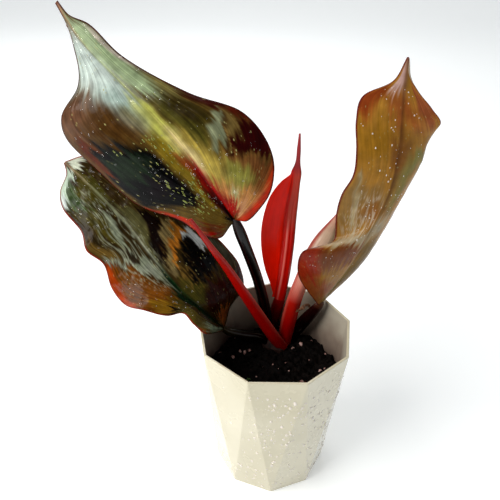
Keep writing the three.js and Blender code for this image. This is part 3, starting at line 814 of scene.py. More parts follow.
def leaf_texture():
    """The fine pattern of a leaf's skin, as a node group: streaks along the veins, cloudy mottling
    and yellow-green dashes over the colour, which are painted glints of light in water drops, with the
    roughness and relief that go with them."""
    tree = bpy.data.node_groups.new("leaf_texture", "ShaderNodeTree")
    for name, kind in (("Color", "Color"), ("Streaks", "Float"), ("Mottling", "Float"), ("Drop_Glints", "Float")):
        tree.interface.new_socket(name, in_out="INPUT", socket_type="NodeSocket" + kind)
    for name, kind in (("Color", "Color"), ("Roughness", "Float"), ("Height", "Float")):
        tree.interface.new_socket(name, in_out="OUTPUT", socket_type="NodeSocket" + kind)
    given = add_node(tree, "NodeGroupInput").outputs
    veins = add_node(tree, "ShaderNodeUVMap", uv_map="veins").outputs["UV"]
    where = add_node(tree, "ShaderNodeTexCoord").outputs["Object"]
    stretched = add_node(tree, "ShaderNodeVectorMath", {0: veins, 1: (30, 3.4, 1)}, operation="MULTIPLY")
    streak = noise(tree, 1.0, 4.0, stretched.outputs[0])
    mottle = noise(tree, 130.0, 5.0, where)

    def strength(factor, amount):
        """A factor around 1 that swings by the amount as the noise goes from 0.3 to 0.7."""
        low = arithmetic(tree, "SUBTRACT", 1.0, amount)
        high = arithmetic(tree, "ADD", 1.0, amount)
        return between(tree, factor, low, high, 0.3, 0.7, clamp=False)

    streaky = strength(streak, given["Streaks"])
    swing = arithmetic(tree, "MULTIPLY", streaky, strength(mottle, given["Mottling"]))
    scaled = {0: given["Color"], "Scale": swing}
    shaded = add_node(tree, "ShaderNodeVectorMath", scaled, operation="SCALE").outputs[0]
    # Yellow-green dashes along the veins, in patches: painted glints of light caught in water drops.
    dashes = add_node(tree, "ShaderNodeVectorMath", {0: veins, 1: (13, 34, 1)}, operation="MULTIPLY")
    dots = add_node(tree, "ShaderNodeTexVoronoi", {"Vector": dashes.outputs[0], "Scale": 1.0})
    dot = between(tree, dots.outputs["Distance"], 1.0, 0.0, 0.1, 0.2)
    some = between(tree, noise(tree, 55.0, 2.0, where), 0.0, given["Drop_Glints"], 0.42, 0.56)
    fleck = {0: arithmetic(tree, "MULTIPLY", dot, some), 6: shaded, 7: (0.30, 0.27, 0.10, 1)}
    flecked = add_node(tree, "ShaderNodeMix", fleck, data_type="RGBA")
    add_node(tree, "NodeGroupOutput", {
        "Color": flecked.outputs[2],
        "Roughness": between(tree, mottle, 0.1, 0.34),
        "Height": arithmetic(tree, "MULTIPLY_ADD", streak, 0.6, mottle),
    })
    return tree


leaf_group = leaf_texture()


def leaf_skin(name, streaks, mottling, drop_glints, bump=0.25, **constants):
    """A leaf's material: the colours of its tint, painted light among them on some pieces, with the fine
    pattern and its painted drop glints over them.
    """
    material, tree, shader = new_material(name, **constants)
    tint = add_node(tree, "ShaderNodeVertexColor", layer_name="tint").outputs["Color"]
    pattern = add_node(tree, "ShaderNodeGroup", node_tree=leaf_group)
    for socket, value in (("Streaks", streaks), ("Mottling", mottling), ("Drop_Glints", drop_glints)):
        pattern.inputs[socket].default_value = value
    tree.links.new(tint, pattern.inputs["Color"])
    tree.links.new(pattern.outputs["Color"], shader.inputs["Base Color"])
    tree.links.new(pattern.outputs["Roughness"], shader.inputs["Roughness"])
    add_relief(tree, shader, pattern.outputs["Height"], bump, 0.0006)
    return material


upper_rib = [
    (0, (10, 5, 7)), (0.1, (60, 8, 8)), (0.26, (110, 16, 12)), (0.36, (190, 170, 110)),
    (0.6, (176, 178, 96)), (0.8, (186, 200, 160)), (1, (170, 120, 90)),
]
under_rib = [(0, (60, 16, 14)), (0.4, (110, 60, 45)), (1, (140, 110, 84))]
upper_tint = paint_blade(
    upper_leaf, (100, 80, 40), upper_leaf_zones, margin=(85, 16, 14), seed=11, rib=upper_rib,
)
under_tint = paint_blade(
    upper_leaf, (118, 92, 70), [], margin=(120, 30, 25), seed=12, rib=under_rib,
)
upper_skin = leaf_skin(
    "upper_leaf_skin", streaks=0.28, mottling=0.28, drop_glints=0.9,
    Coat_Weight=0.03, Coat_Roughness=0.08, Specular_IOR_Level=0.08,
)
bronze_underside = leaf_skin(
    "bronze_underside", streaks=0.25, mottling=0.15, drop_glints=0.0, Specular_IOR_Level=0.3,
)
upper_blade, upper_face, upper_normal = blade_object(
    "upper_blade", upper_leaf, (upper_tint, under_tint), [upper_skin, bronze_underside],
    crumple=0.0003, seed=21,
)
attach(upper_blade, "root")
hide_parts("upper_leaf_blade")

# Low leaf
# An older leaf on the left that leans over the pot's rim. Its skin is the most crumpled of all, and
# its margin waves.
low_leaf = {
    "midrib": [
        (0, -43, 20, 126), (0.12, -57, 10, 152), (0.26, -73, 12, 168), (0.45, -96, 26, 190),
        (0.66, -121, 44, 215), (0.84, -148, 60, 237), (1, -170, 72, 253),
    ],
    "left": [
        (0, -44, 17, 125), (0.04, -54, -10, 145), (0.1, -64, -9, 154), (0.17, -72, -2, 159),
        (0.24, -84, -6, 160), (0.33, -102, -4, 163), (0.42, -118, 2, 164), (0.5, -130, 12, 174),
        (0.57, -136, 22, 188), (0.64, -149, 28, 196), (0.72, -154, 36, 209), (0.82, -171, 50, 223),
        (0.9, -173, 60, 234), (0.96, -169, 68, 245), (1, -171, 72, 252),
    ],
    "right": [
        (0, -41, 23, 127), (0.03, -38, 34, 136), (0.1, -25, 40, 153), (0.18, -28, 45, 173),
        (0.27, -42, 50, 189), (0.42, -67, 56, 209), (0.58, -94, 62, 229), (0.74, -124, 68, 247),
        (0.9, -152, 72, 259), (1, -169, 72, 254),
    ],
    "arch": 0.08,
    "waves": ((0.06, 3.5, 0), (0.05, 3, 0.3)),
    "rib_depth": 0.0024,
}
low_leaf_zones = [
    ((205, 210, 190), 4, [(102, 78), (96, 104), (93, 104), (90, 81), (91, 44), (96, 11)]),
    ((190, 205, 185), 5, [(96, -88), (95, 10), (89, -50), (84, -73), (82, -93), (86, -104), (90, -99)]),
    ((222, 230, 225), 4, [(87, -104), (86, -79), (83, -82), (82, -97), (84, -104)]),
    ((76, 92, 56), 5, [(89, -61), (82, -11), (77, -34), (78, -69), (81, -88)]),
    ((90, 82, 32), 5, [(95, 10), (87, 25), (78, 10), (74, -2), (77, -36), (83, -48)]),
    ((80, 76, 30), 5, [(88, 49), (77, 19), (71, 12), (76, 7), (84, 4)]),
    ((80, 72, 28), 6, [
        (80, -89), (77, -36), (70, -23), (62, -26), (56, -32), (62, -49), (70, -72), (74, -86), (76, -92),
    ]),
    ((112, 90, 46), 5, [(70, -98), (64, -75), (56, -62), (53, -57), (56, -80), (60, -96), (65, -98)]),
    ((165, 70, 14), 5, [(58, -94), (55, -84), (50, -67), (44, -77), (37, -86), (41, -104), (52, -104)]),
    ((120, 74, 20), 6, [
        (55, -83), (48, -44), (41, -24), (31, -20), (28, -31), (27, -70), (29, -94), (36, -96), (43, -84),
        (49, -78),
    ]),
    ((140, 105, 30), 5, [(33, -81), (29, -27), (24, -62), (24, -89), (29, -94)]),
    ((30, 20, 10), 2, [(26, -67), (25, -51), (18, -100), (22, -93)]),
    ((90, 80, 35), 3, [
        (28, -19), (18, -45), (10, -41), (1, -71), (3, -104), (11, -104), (17, -104), (26, -41),
    ]),
    ((140, 155, 130), 3, [(6, -54), (1, -21), (0, -87), (4, -81)]),
    ((150, 80, 30), 3, [(7, -87), (4, -81), (4, -100), (5, -100)]),
    # These two whitish bands are painted highlights: gloss along the crumples, painted into the colour.
    ((140, 146, 124), 3, [
        (74, -26), (70, -18), (65, -22), (58, -30), (53, -24), (48, -9), (39, -6), (31, -11), (37, -14),
        (45, -17), (53, -42), (61, -41), (67, -34),
    ]),
    ((150, 154, 136), 3, [
        (61, -92), (57, -82), (53, -56), (49, -27), (45, -13), (38, -9), (44, -24), (49, -41), (54, -71),
        (58, -96),
    ]),
    ((60, 50, 35), 3, [(59, -39), (55, -18), (51, -24), (54, -46), (58, -53)]),
    ((92, 88, 56), 5, [
        (71, 12), (66, 40), (61, 41), (57, 32), (52, 21), (47, 12), (39, 3), (50, 1), (66, 3),
    ]),
    ((30, 18, 12), 4, [(61, 46), (54, 61), (49, 52), (45, 23), (39, 10), (41, 3), (48, 11), (54, 24)]),
    ((125, 110, 75), 3, [(52, 62), (48, 75), (44, 51), (40, 20), (34, 11), (36, 4), (42, 14), (48, 39)]),
    ((170, 110, 40), 3, [(48, 71), (42, 78), (42, 59), (41, 40), (38, 20), (40, 18), (45, 44)]),
    ((75, 70, 28), 5, [(35, 12), (28, 20), (23, 30), (18, 23), (14, 4), (20, -3), (27, 1)]),
    ((55, 22, 14), 5, [(22, 33), (18, 62), (12, 82), (11, 59), (9, 34), (7, 8), (13, 9)]),
    ((150, 85, 40), 2, [(5, 10), (8, 38), (3, 61), (2, 19)]),
    ((85, 85, 70), 4, [(35, 89), (29, 104), (11, 104), (18, 83), (23, 86), (30, 86)]),
    ((70, 15, 10), 3, [(19, 92), (15, 104), (10, 104), (12, 82)]),
    ((4, 4, 5), 4, [
        (42, 54), (40, 72), (34, 68), (31, 73), (25, 73), (23, 69), (23, 54), (24, 34), (25, 16),
        (30, 24), (36, 34), (39, 41),
    ]),
    # A whitish patch of painted highlight on the crumples.
    ((175, 180, 178), 2, [(42, 65), (41, 83), (38, 88), (32, 76), (35, 68), (40, 69), (41, 58)]),
    ((15, 45, 22), 2, [
        (40, -4), (31, -2), (20, -3), (10, -1), (5, 1), (0, -2), (4, -20), (11, -27), (19, -27),
        (31, -14),
    ]),
]
low_rib = [
    (0, (20, 24, 14)), (0.1, (14, 44, 22)), (0.34, (20, 60, 32)), (0.5, (170, 172, 150)),
    (0.8, (150, 156, 120)), (1, (180, 150, 120)),
]
# Thin swirls of painted highlight along the crumples.
low_highlight_swirls = [
    ((178, 184, 160), [(88, -44), (82, 0), (62, 12), (42, 6), (30, -8), (34, -32), (50, -64), (68, -64)]),
    ((150, 120, 62), [(50, 60), (46, 76), (36, 40), (22, 26), (24, 12), (42, 12)]),
]
low_tint = paint_blade(
    low_leaf, (66, 52, 24), low_leaf_zones, margin=(150, 52, 28), seed=31, rib=low_rib,
    blur=0.85, swirls=low_highlight_swirls,
)
under_tint = paint_blade(low_leaf, (112, 88, 62), [], margin=(170, 45, 25), seed=32, rib=under_rib)
low_skin = leaf_skin(
    "low_leaf_skin", streaks=0.42, mottling=0.3, drop_glints=0.5, bump=0.45,
    Coat_Weight=0.06, Coat_Roughness=0.1, Specular_IOR_Level=0.08,
)
low_blade, low_face, low_normal = blade_object(
    "low_blade", low_leaf, (low_tint, under_tint), [low_skin, bronze_underside],
    crumple=0.0009, seed=41,
)
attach(low_blade, "root")
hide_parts("low_leaf_blade")

# Right leaf
# A younger, paler leaf whose right half has folded back behind it. Its left margin rises and falls
# in one deep wave near the base.
right_leaf = {
    "midrib": [
        (0, 40, 30, 146), (0.16, 59, 28, 184), (0.32, 72, 28, 218), (0.48, 82, 32, 245),
        (0.66, 86, 38, 277), (0.82, 86, 45, 306), (0.92, 86, 52, 324), (1, 88, 60, 340),
    ],
    "left": [
        (0, 37, 28, 146), (0.08, 19, 12, 182), (0.15, 15, 5, 201), (0.22, 18, 4, 214),
        (0.29, 31, 16, 211), (0.36, 45, 32, 207), (0.44, 45, 34, 229), (0.52, 47, 32, 247),
        (0.6, 53.5, 32, 262), (0.7, 54.5, 36, 281), (0.78, 53, 42, 300), (0.86, 57, 48, 316),
        (0.94, 79, 54, 326), (1, 87, 60, 340),
    ],
    "right": [
        (0, 42, 33, 144), (0.1, 51, 52, 148), (0.22, 57, 66, 160), (0.34, 64, 74, 182),
        (0.45, 67.5, 77, 209), (0.53, 65.2, 77, 235), (0.59, 64.8, 76, 259), (0.635, 70, 75, 273),
        (0.68, 91, 70.5, 280), (0.73, 110, 59, 285), (0.775, 115.3, 47.5, 296), (0.84, 107.5, 47.5, 307.5),
        (0.91, 95.4, 51, 320), (0.96, 88.8, 55, 330), (1, 88.4, 60.2, 340),
    ],
    "fold": [
        (0, 41, 32, 145), (0.16, 70, 40, 177.5), (0.32, 86.5, 48, 207), (0.48, 98, 53, 237.5),
        (0.58, 105.6, 56, 258), (0.67, 110.2, 55, 275), (0.725, 110.5, 51, 285), (0.78, 106, 46, 296),
        (0.85, 98.5, 47.5, 309.5), (0.92, 91, 53, 323), (1, 88.2, 60.2, 340),
    ],
    "arch": 0.06,
    "rib_depth": 0.0024,
}
right_leaf_zones = [
    ((150, 75, 35), 5, [(86, -104), (90, -91), (91, -61), (87, -46), (84, -68), (79, -79), (77, -104)]),
    ((160, 95, 60), 5, [(92, 54), (87, 104), (80, 104), (79, 65), (79, 41), (84, 37)]),
    ((166, 100, 52), 8, [(87, -46), (89, 4), (82, 33), (77, 37), (77, 4), (79, -27)]),
    ((205, 170, 160), 4, [(102, -55), (95, 3), (91, -2), (88, -19), (87, -37), (90, -52), (94, -59)]),
    ((160, 118, 42), 8, [(77, -94), (77, -26), (65, -24), (63, -51), (67, -93), (72, -100)]),
    ((146, 98, 46), 8, [(72, -27), (71, 14), (57, 10), (58, -12)]),
    ((156, 122, 70), 6, [(53, -100), (60, -92), (50, 1), (43, 4), (39, -35), (40, -97), (44, -99)]),
    ((175, 160, 125), 3, [
        (60, -91), (60, -86), (52, -68), (44, -65), (38, -62), (39, -70), (45, -72), (52, -74),
    ]),
    ((146, 98, 46), 7, [(47, -55), (47, -17), (41, 6), (35, -5), (40, -39)]),
    ((150, 140, 80), 4, [
        (67, 24), (63, 35), (55, 17), (49, 14), (42, 14), (41, 11), (51, 6), (58, 9), (65, 16),
    ]),
    ((138, 80, 34), 4, [
        (24, -94), (28, -50), (27, 3), (24, 11), (19, -6), (15, -43), (16, -79), (19, -99),
    ]),
    ((188, 170, 138), 3, [
        (31, -104), (36, -104), (36, -65), (33, -6), (36, 8), (41, 11), (32, 18), (28, 4), (28, -41),
        (28, -71),
    ]),
    ((172, 62, 36), 6, [(27, -106), (24, -80), (14, -60), (5, -66), (3, -106)]),
    ((165, 92, 48), 4, [(8, -97), (10, -39), (6, 11), (1, -68), (3, -104)]),
    ((136, 108, 52), 4, [(28, 4), (29, 19), (18, 40), (12, 31), (5, 31), (3, -9), (11, -3), (19, 1)]),
]
right_rib = [
    (0, (150, 140, 90)), (0.3, (150, 120, 70)), (0.5, (112, 74, 34)), (0.85, (124, 78, 40)),
    (1, (170, 130, 110)),
]
pale_rib = [(0, (150, 120, 100)), (1, (190, 176, 150))]
# Thin swirls of painted highlight.
right_highlight_swirls = [
    ((214, 204, 184), [(50, -70), (52, -30), (40, 12), (30, 16), (28, -30), (30, -80), (40, -90)]),
]
right_tint = paint_blade(
    right_leaf, (176, 130, 58), right_leaf_zones, margin=(120, 30, 35), seed=51, rib=right_rib,
    swirls=right_highlight_swirls, paleness=0.12,
)
under_tint = paint_blade(right_leaf, (190, 190, 165), [], margin=(205, 190, 170), seed=52, rib=pale_rib)
right_skin = leaf_skin(
    "right_leaf_skin", streaks=0.08, mottling=0.16, drop_glints=0.5, bump=0.2,
    Coat_Weight=0.04, Coat_Roughness=0.2, Specular_IOR_Level=0.1,
)
pale_underside = leaf_skin(
    "pale_underside", streaks=0.15, mottling=0.1, drop_glints=0.0, Specular_IOR_Level=0.3,
)
right_blade, right_face, right_normal = blade_object(
    "right_blade", right_leaf, (right_tint, under_tint), [right_skin, pale_underside],
    crumple=0.0004, seed=61,
)
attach(right_blade, "root")
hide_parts("right_leaf_blade")

# Stalks
# Each leaf hangs from a smooth oval stalk, juicy and almost black, or dark red under the new leaf. It
# widens where it clasps the stem and narrows at the blade.
stalk_rows = 90
stalk_sides = 28
stalk_rib = 0.012
stalk_sway = 0.02


def curve(places, share):
    """A smooth curve through places in millimetres, by its share of the straight distances between
    them, and the direction it runs in."""
    steps = np.linalg.norm(np.diff(np.array(places, dtype=float), axis=0), axis=1)
    marks = np.concatenate([[0], np.cumsum(steps)]) / steps.sum()
    knots = np.column_stack([marks, places])
    points = rail(knots, share)
    return points, unit(np.gradient(points, axis=0))


def level(pairs, share):
    """Values at shares, with a smooth cubic through (share, value) pairs in millimetres."""
    knots = [(place, value, 0, 0) for place, value in pairs]
    return rail(knots, share)[..., 0]


def swept(places, facing, rows, section):
    """Points of a section carried along a curve. The section gives its points' offsets across and
    outward for each share: outward faces as told, and across is square to it and to the curve."""
    share = np.linspace(0, 1, rows)
    centre, along = curve(places, share)
    across = unit(np.cross(along, facing))
    outward = np.cross(across, along)
    x, y = section(share[:, None])
    return centre[:, None] + across[:, None] * x[..., None] + outward[:, None] * y[..., None]


def tube_faces(rows, sides):
    """The faces of a closed tube: its side, and one flat face at each end."""
    number = np.arange(sides)
    return [*grid_faces(rows, sides, wrap=True), number[::-1], (rows - 1) * sides + number]


def stalk_object(name, places, facing, radii, flatness, colours, material):
    """A stalk: an oval tube whose radius follows (share, radius) pairs, with faint ribs along it, and
    whose colour runs through (share, colour) pairs."""
    turn = np.arange(stalk_sides) * 2 * np.pi / stalk_sides

    def section(share):
        ribs = 1 + stalk_rib * np.sin(7 * turn + 3 * share) + stalk_sway * np.sin(2 * turn + 9 * share)
        radius = level(radii, share) * ribs
        return radius * np.cos(turn), radius * flatness * np.sin(turn)

    points = swept(places, facing, stalk_rows, section)
    share = np.broadcast_to(np.linspace(0, 1, stalk_rows)[:, None], points.shape[:2])
    tint = toned(colours, share)
    uv = np.stack([np.broadcast_to(0.6 * np.cos(turn), share.shape), share], axis=-1)
    return mesh_object(
        name, points, tube_faces(stalk_rows, stalk_sides), [material],
        uvs={"veins": uv}, tint=tint, crease=60,
    )


dark_stalk_skin = leaf_skin(
    "dark_stalk_skin", streaks=0.35, mottling=0.3, drop_glints=0.0,
    Coat_Weight=0.35, Coat_Roughness=0.1, Specular_IOR_Level=0.15,
)
front = np.array([0.0, -1.0, 0.0])
stalk_makes = [
    # name, node, slot, facing and flatness, then places, radii and colours from foot to blade
    ("upper_stalk", "upper_leaf_stalk", "dark_stalk", front, 0.9,
     [(0, 38, 90), (-4, 42, 106), (-6, 40, 126), (-13, 35, 163), (-23, 30, 198), (-31.5, 28.5, 223.5),
      (-33, 28.4, 228)],
     [(0, 5.4), (0.15, 5.1), (0.4, 4.7), (0.8, 4.4), (0.93, 4.2), (1, 2.8)],
     [(0, (10, 3, 4)), (0.4, (8, 4, 5)), (0.9, (8, 5, 6)), (1, (30, 8, 8))]),
    ("low_stalk", "low_leaf_stalk", "dark_stalk", np.array([0.0, 0.0, 1.0]), 0.85,
     [(0, 34, 94), (-10, 32, 106), (-26, 27, 113), (-41.5, 21, 123.5), (-43.5, 20, 126)],
     [(0, 5.4), (0.4, 4.6), (0.9, 3.7), (1, 2.8)],
     [(0, (8, 3, 3)), (0.7, (14, 8, 6)), (1, (40, 34, 16))]),
    ("right_stalk", "right_leaf_stalk", "dark_stalk", front, 0.72,
     [(8, 38, 90), (18, 39, 103), (28, 35, 122), (38.5, 30.5, 143), (40.5, 30, 147)],
     [(0, 6.4), (0.4, 6.2), (0.8, 5.0), (0.93, 4.0), (1, 2.8)],
     [(0, (10, 3, 5)), (0.6, (14, 4, 6)), (0.9, (36, 12, 10)), (1, (80, 45, 28))]),
    ("new_stalk", "new_leaf_stalk", "red_stalk", front, 0.8,
     [(2, 44, 88), (1, 47, 102), (3, 47, 120), (6, 46, 137), (6.6, 46, 143)],
     [(0, 5.9), (0.5, 5.4), (0.9, 4.7), (1, 3.4)],
     [(0, (20, 2, 2)), (0.35, (45, 3, 3)), (0.8, (105, 5, 3)), (1, (140, 9, 5))]),
]
for name, node, slot, facing, flatness, places, radii, colours in stalk_makes:
    stalk = stalk_object(name, places, facing, radii, flatness, colours, dark_stalk_skin)
    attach(stalk, "root")
    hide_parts(node)

# Stem crown
# The short woody stem that all the stalks spring from, half sunk in the soil. It keeps the solid's
# own shape and gets a rough, nearly black bark.
bark = mottled_finish(
    "crown_bark", (240.0, 5.0), (0.35, (0.004, 0.0015, 0.001)), (0.65, (0.03, 0.011, 0.008)),
    gloss=(240.0, 5.0, 0.5, 0.9), relief=(240.0, 5.0, 0.6, 0.0006), Specular_IOR_Level=0.2,
)
for material_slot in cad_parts["stem_crown"].material_slots:
    material_slot.material = bark

# Sheaths
# Two juicy scale leaves that once wrapped the buds, each a channel that is hollow behind. The left
# one is narrow and red, with a pale highlight painted along its lips. The right one turns pale, partly
# its own colour and partly painted highlight, and widens below its pointed tip.
sheath_rows = 140
sheath_arc = 22
sheath_wall = 0.0022
sheath_spread = 1.5


def sheath_object(name, places, facing, widths, outer, inner, lip, lip_start, skin):
    """A channel: a crescent between two arcs whose ends are thin lips. Outer and inner colours run
    through (share, colour) pairs, and the lips have their own from a share of the arc outward, which
    on the left scale are a painted highlight."""
    sweep = np.linspace(-1, 1, sheath_arc)
    arc = np.concatenate([sweep, sweep[::-1]])
    outside = np.repeat([True, False], sheath_arc)

    def section(share):
        radius = level(widths, share) / 2
        thinning = 1 - 0.55 * np.abs(arc) ** 4
        inner_radius = np.maximum(radius - np.minimum(sheath_wall, radius * 0.8) * thinning, 0.0001)
        ribs = 1 + 0.012 * np.cos(arc * 9) * (1 - np.abs(arc))
        r = np.where(outside, radius * ribs, inner_radius)
        return r * np.sin(arc * sheath_spread), r * np.cos(arc * sheath_spread) - radius * 0.6

    points = swept(places, facing, sheath_rows, section)
    share = np.broadcast_to(np.linspace(0, 1, sheath_rows)[:, None], points.shape[:2])
    tint = np.where(outside[:, None], toned(outer, share), toned(inner, share))
    # The lips' colour, pale on the left scale, is a painted highlight there.
    lips = np.clip((np.abs(arc) - lip_start) / 0.2, 0, 1) ** 2
    tint = laid_over(tint, lips * 0.8, toned(lip, share))
    uv = np.stack([np.broadcast_to(arc * 0.8, share.shape), share], axis=-1)
    return mesh_object(
        name, points, tube_faces(sheath_rows, 2 * sheath_arc), [skin],
        uvs={"veins": uv}, tint=tint, crease=75,
    )


sheath_skin = leaf_skin(
    "sheath_skin", streaks=0.14, mottling=0.1, drop_glints=0.0,
    Coat_Weight=0.2, Coat_Roughness=0.12, Specular_IOR_Level=0.15,
)
sheath_makes = [
    # name, node and facing, then places, widths and the outer, inner and lip colours from foot to tip,
    # and the share of the arc where the lips begin
    ("left_scale", "left_sheath", (-0.3, -1, -0.3),
     [(8, 26, 97), (-1, 24, 113), (-9, 23, 128), (-24, 20, 158), (-39, 16, 189), (-52, 11, 214),
      (-64, 7, 238)],
     [(0, 13), (0.2, 12), (0.4, 10.5), (0.6, 8.4), (0.8, 6), (1, 3.0)],
     [(0, (95, 6, 4)), (0.15, (135, 7, 4)), (0.5, (160, 14, 7)), (0.85, (150, 22, 14)), (1, (145, 20, 14))],
     [(0, (130, 20, 14)), (0.4, (200, 80, 62)), (1, (170, 55, 40))],
     # The left scale's pale lip colours: a painted highlight along its edges.
     [(0, (140, 14, 9)), (0.4, (205, 95, 78)), (1, (205, 110, 92))], 0.8),
    ("right_scale", "right_sheath", (0.1, -1, 0),
     [(11, 30, 96), (15, 31, 126), (20, 32, 153), (30, 36.5, 180), (43.5, 42, 206), (49, 41, 227)],
     [(0, 12), (0.2, 13.5), (0.5, 13), (0.82, 16), (1, 2.2)],
     # The right scale's pale outer tones above its middle: partly its own colour, partly painted highlight.
     [(0, (95, 6, 4)), (0.2, (140, 8, 5)), (0.36, (168, 28, 18)), (0.48, (205, 120, 104)),
      (0.62, (214, 170, 150)), (0.85, (205, 172, 146)), (1, (196, 130, 112))],
     [(0, (130, 20, 14)), (0.5, (215, 170, 150)), (1, (205, 150, 130))],
     [(0, (130, 9, 5)), (0.4, (200, 90, 76)), (0.6, (176, 42, 36)), (0.85, (160, 26, 28)),
      (1, (150, 24, 28))], 0.56),
]
for name, node, facing, places, widths, outer, inner, lip, lip_start in sheath_makes:
    facing = unit(np.array(facing))
    sheath = sheath_object(name, places, facing, widths, outer, inner, lip, lip_start, sheath_skin)
    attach(sheath, "root")
    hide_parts(node)

# New leaf
# The youngest leaf, still unrolling: its middle is rolled round itself into a spear, and its left
# side stands free as a smooth red flap.
roll_radius = [
    (0, 4.8), (0.3, 4.8), (0.6, 4.2), (0.74, 3.3), (0.8, 3.3), (0.84, 1.9), (0.93, 1.2), (1, 0.6),
]
flap_reach = [
    (0, 5.2), (0.08, 10), (0.18, 16.5), (0.3, 21.2), (0.4, 23), (0.55, 21.5), (0.65, 18), (0.74, 11),
    (0.79, 4.5), (0.84, 2.3), (1, 0.9),
]
flap_back = 0.004
new_leaf_rows = 200
tail_points = 30
round_points = 46
tail = np.linspace(1, 0, tail_points, endpoint=False)
turning = np.linspace(np.pi - 0.5, 0.5 - np.pi, round_points)


def new_leaf_section(share):
    """A comma: the roll's round, and the flap's thin tail that leaves it on the left and bends back.
    A groove runs down the roll's front beside the lip of its outer turn."""
    radius = level(roll_radius, share)
    wide = np.maximum(level(flap_reach, share), radius * 1.4)
    back = flap_back * np.clip((wide - radius) / 0.02, 0, None)
    slim = np.minimum(leaf_thickness / 2, radius * 0.45)
    tail_x = -(radius + (wide - radius) * tail)
    tail_y = -back * (2.4 * tail * (1 - tail) + tail)
    lip = 0.1 * np.exp(-((turning - 1.15) / 0.16) ** 2) - 0.16 * np.exp(-((turning - 1.5) / 0.14) ** 2)
    bulge = radius * (1 + lip * np.clip(share * 6, 0, 1))
    round_x = bulge * np.cos(turning)
    round_y = bulge * 0.85 * np.sin(turning)
    x = np.concatenate([tail_x, round_x, tail_x[:, ::-1]], axis=1)
    y = np.concatenate([tail_y + slim, round_y, (tail_y - slim)[:, ::-1]], axis=1)
    return x, y


new_leaf_places = [
    (6.2, 46, 139), (9, 46, 163), (11, 46, 193), (12, 47, 221), (14, 48, 247), (15, 49, 267), (15, 51, 287),
]
new_leaf_points = swept(new_leaf_places, front, new_leaf_rows, new_leaf_section)
share = np.broadcast_to(np.linspace(0, 1, new_leaf_rows)[:, None], new_leaf_points.shape[:2])
place = np.concatenate([-1 - tail, 1 - turning / np.pi * 2, -1 - tail[::-1]])
place = np.broadcast_to(place, share.shape)


def band(value, middle, half, soft):
    """1 within half of a middle value, fading to 0 over a soft width."""
    return np.clip((half + soft - np.abs(value - middle)) / soft, 0, 1)


new_leaf_bands = [
    # The crease where the flap meets the roll: painted shade.
    (band(place, -1.0, 0.05, 0.07) * 0.6, (130, 8, 4)),
    (band(place, 0.1, 0.8, 0.3) * band(share, 0.3, 0.3, 0.25) * 0.7, (170, 12, 7)),
    # A pink line down the roll's front: a painted highlight.
    (band(place, -0.35, 0.07, 0.08) * band(share, 0.42, 0.32, 0.15), (232, 110, 100)),
    (band(place, 0.1, 0.5, 0.3) * band(share, 0.68, 0.13, 0.1), (190, 62, 48)),
    # The roll's right side, turned from the light: painted shade.
    (band(place, 1.6, 0.8, 0.3), (80, 4, 5)),
    (band(share, 0.95, 0.12, 0.05), (150, 52, 55)),
]
tint = np.broadcast_to(linear((244, 30, 4)), share.shape + (3,))
for mask, colour in new_leaf_bands:
    tint = laid_over(tint, mask, linear(colour))
new_leaf_faces = tube_faces(new_leaf_rows, 2 * tail_points + round_points)
new_leaf_uv = np.stack([place * 0.5, share], axis=-1)
red_skin = leaf_skin(
    "new_leaf_skin", streaks=0.06, mottling=0.05, drop_glints=0.0,
    Coat_Weight=0.05, Coat_Roughness=0.12, Specular_IOR_Level=0.08,
)
new_leaf = mesh_object(
    "rolled_leaf", new_leaf_points, new_leaf_faces, [red_skin],
    uvs={"veins": new_leaf_uv}, tint=tint, crease=70,
)
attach(new_leaf, "root")
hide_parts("new_leaf")

# Dried curl
# A shrivelled brown remnant of an older sheath that bridges the gap between the right sheath and
# the right leaf's stalk.
curl_places = [
    (19.5, 29.5, 137), (21.5, 27.5, 140), (24.5, 27, 143), (27.5, 29, 144.5), (30, 31.5, 142),
    (31.5, 33, 138),
]
curl_rows = 60
curl_sides = 16
curl_end_width = 0.0004
curl_widening = 0.0014
curl_thickness = 0.0004
curl_ripple = 0.0003


def curl_section(share):
    """A thin oval strip, widest in its middle, whose faces ripple."""
    turn = np.arange(curl_sides) * 2 * np.pi / curl_sides
    wide = curl_end_width + curl_widening * np.sin(np.pi * share) ** 0.7
    ripple = curl_ripple * np.sin(share * 19 + turn)
    return wide * np.cos(turn), curl_thickness * np.sin(turn) + ripple


curl_points = swept(curl_places, front, curl_rows, curl_section)
curl_material = mottled_finish(
    "dried_sheath", (900.0, 4.0), (0.35, (0.06, 0.02, 0.01)), (0.65, (0.26, 0.12, 0.06)),
    Specular_IOR_Level=0.2,
)
curl = mesh_object("dried_curl", curl_points, tube_faces(curl_rows, curl_sides), [curl_material], crease=70)
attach(curl, "root")

# Water drops
# Clear drops left by spraying: flattened domes that sit on the leaves' upper faces and on the pot's
# side, thickest on its front and right and round its foot. In the upper leaf's dark patch, itself a
# painted reflection, they are drawn out along the blade and tinted yellow-green, a painted reflection
# of the leaf's lit colour beside them. The other water is partly white, so that its drops show as
# painted highlights.
# How far a drop stands out of a surface and sinks into it, as shares of its radius.
drop_height = 0.42
drop_sink = 0.2


def drops_object(name, centres, normals, along, radii, stretch, material):
    """Many drops as one object: each is a ball squashed to a dome and drawn out along a direction.
    They cast no shadow, since light goes through them."""
    shape, faces = lump_template(5, 9)
    shape[:, 2] *= np.where(shape[:, 2] < 0, drop_sink, drop_height)
    across = unit(np.cross(along, normals))
    frames = np.stack([across, np.cross(normals, across), normals], axis=1)
    sizes = np.stack([radii, radii * stretch, radii], axis=-1)
    points = centres[:, None] + (shape * sizes[:, None]) @ frames
    piece = mesh_object(name, points, repeated(faces, len(shape), len(centres)), [material])
    piece.visible_shadow = False
    return piece


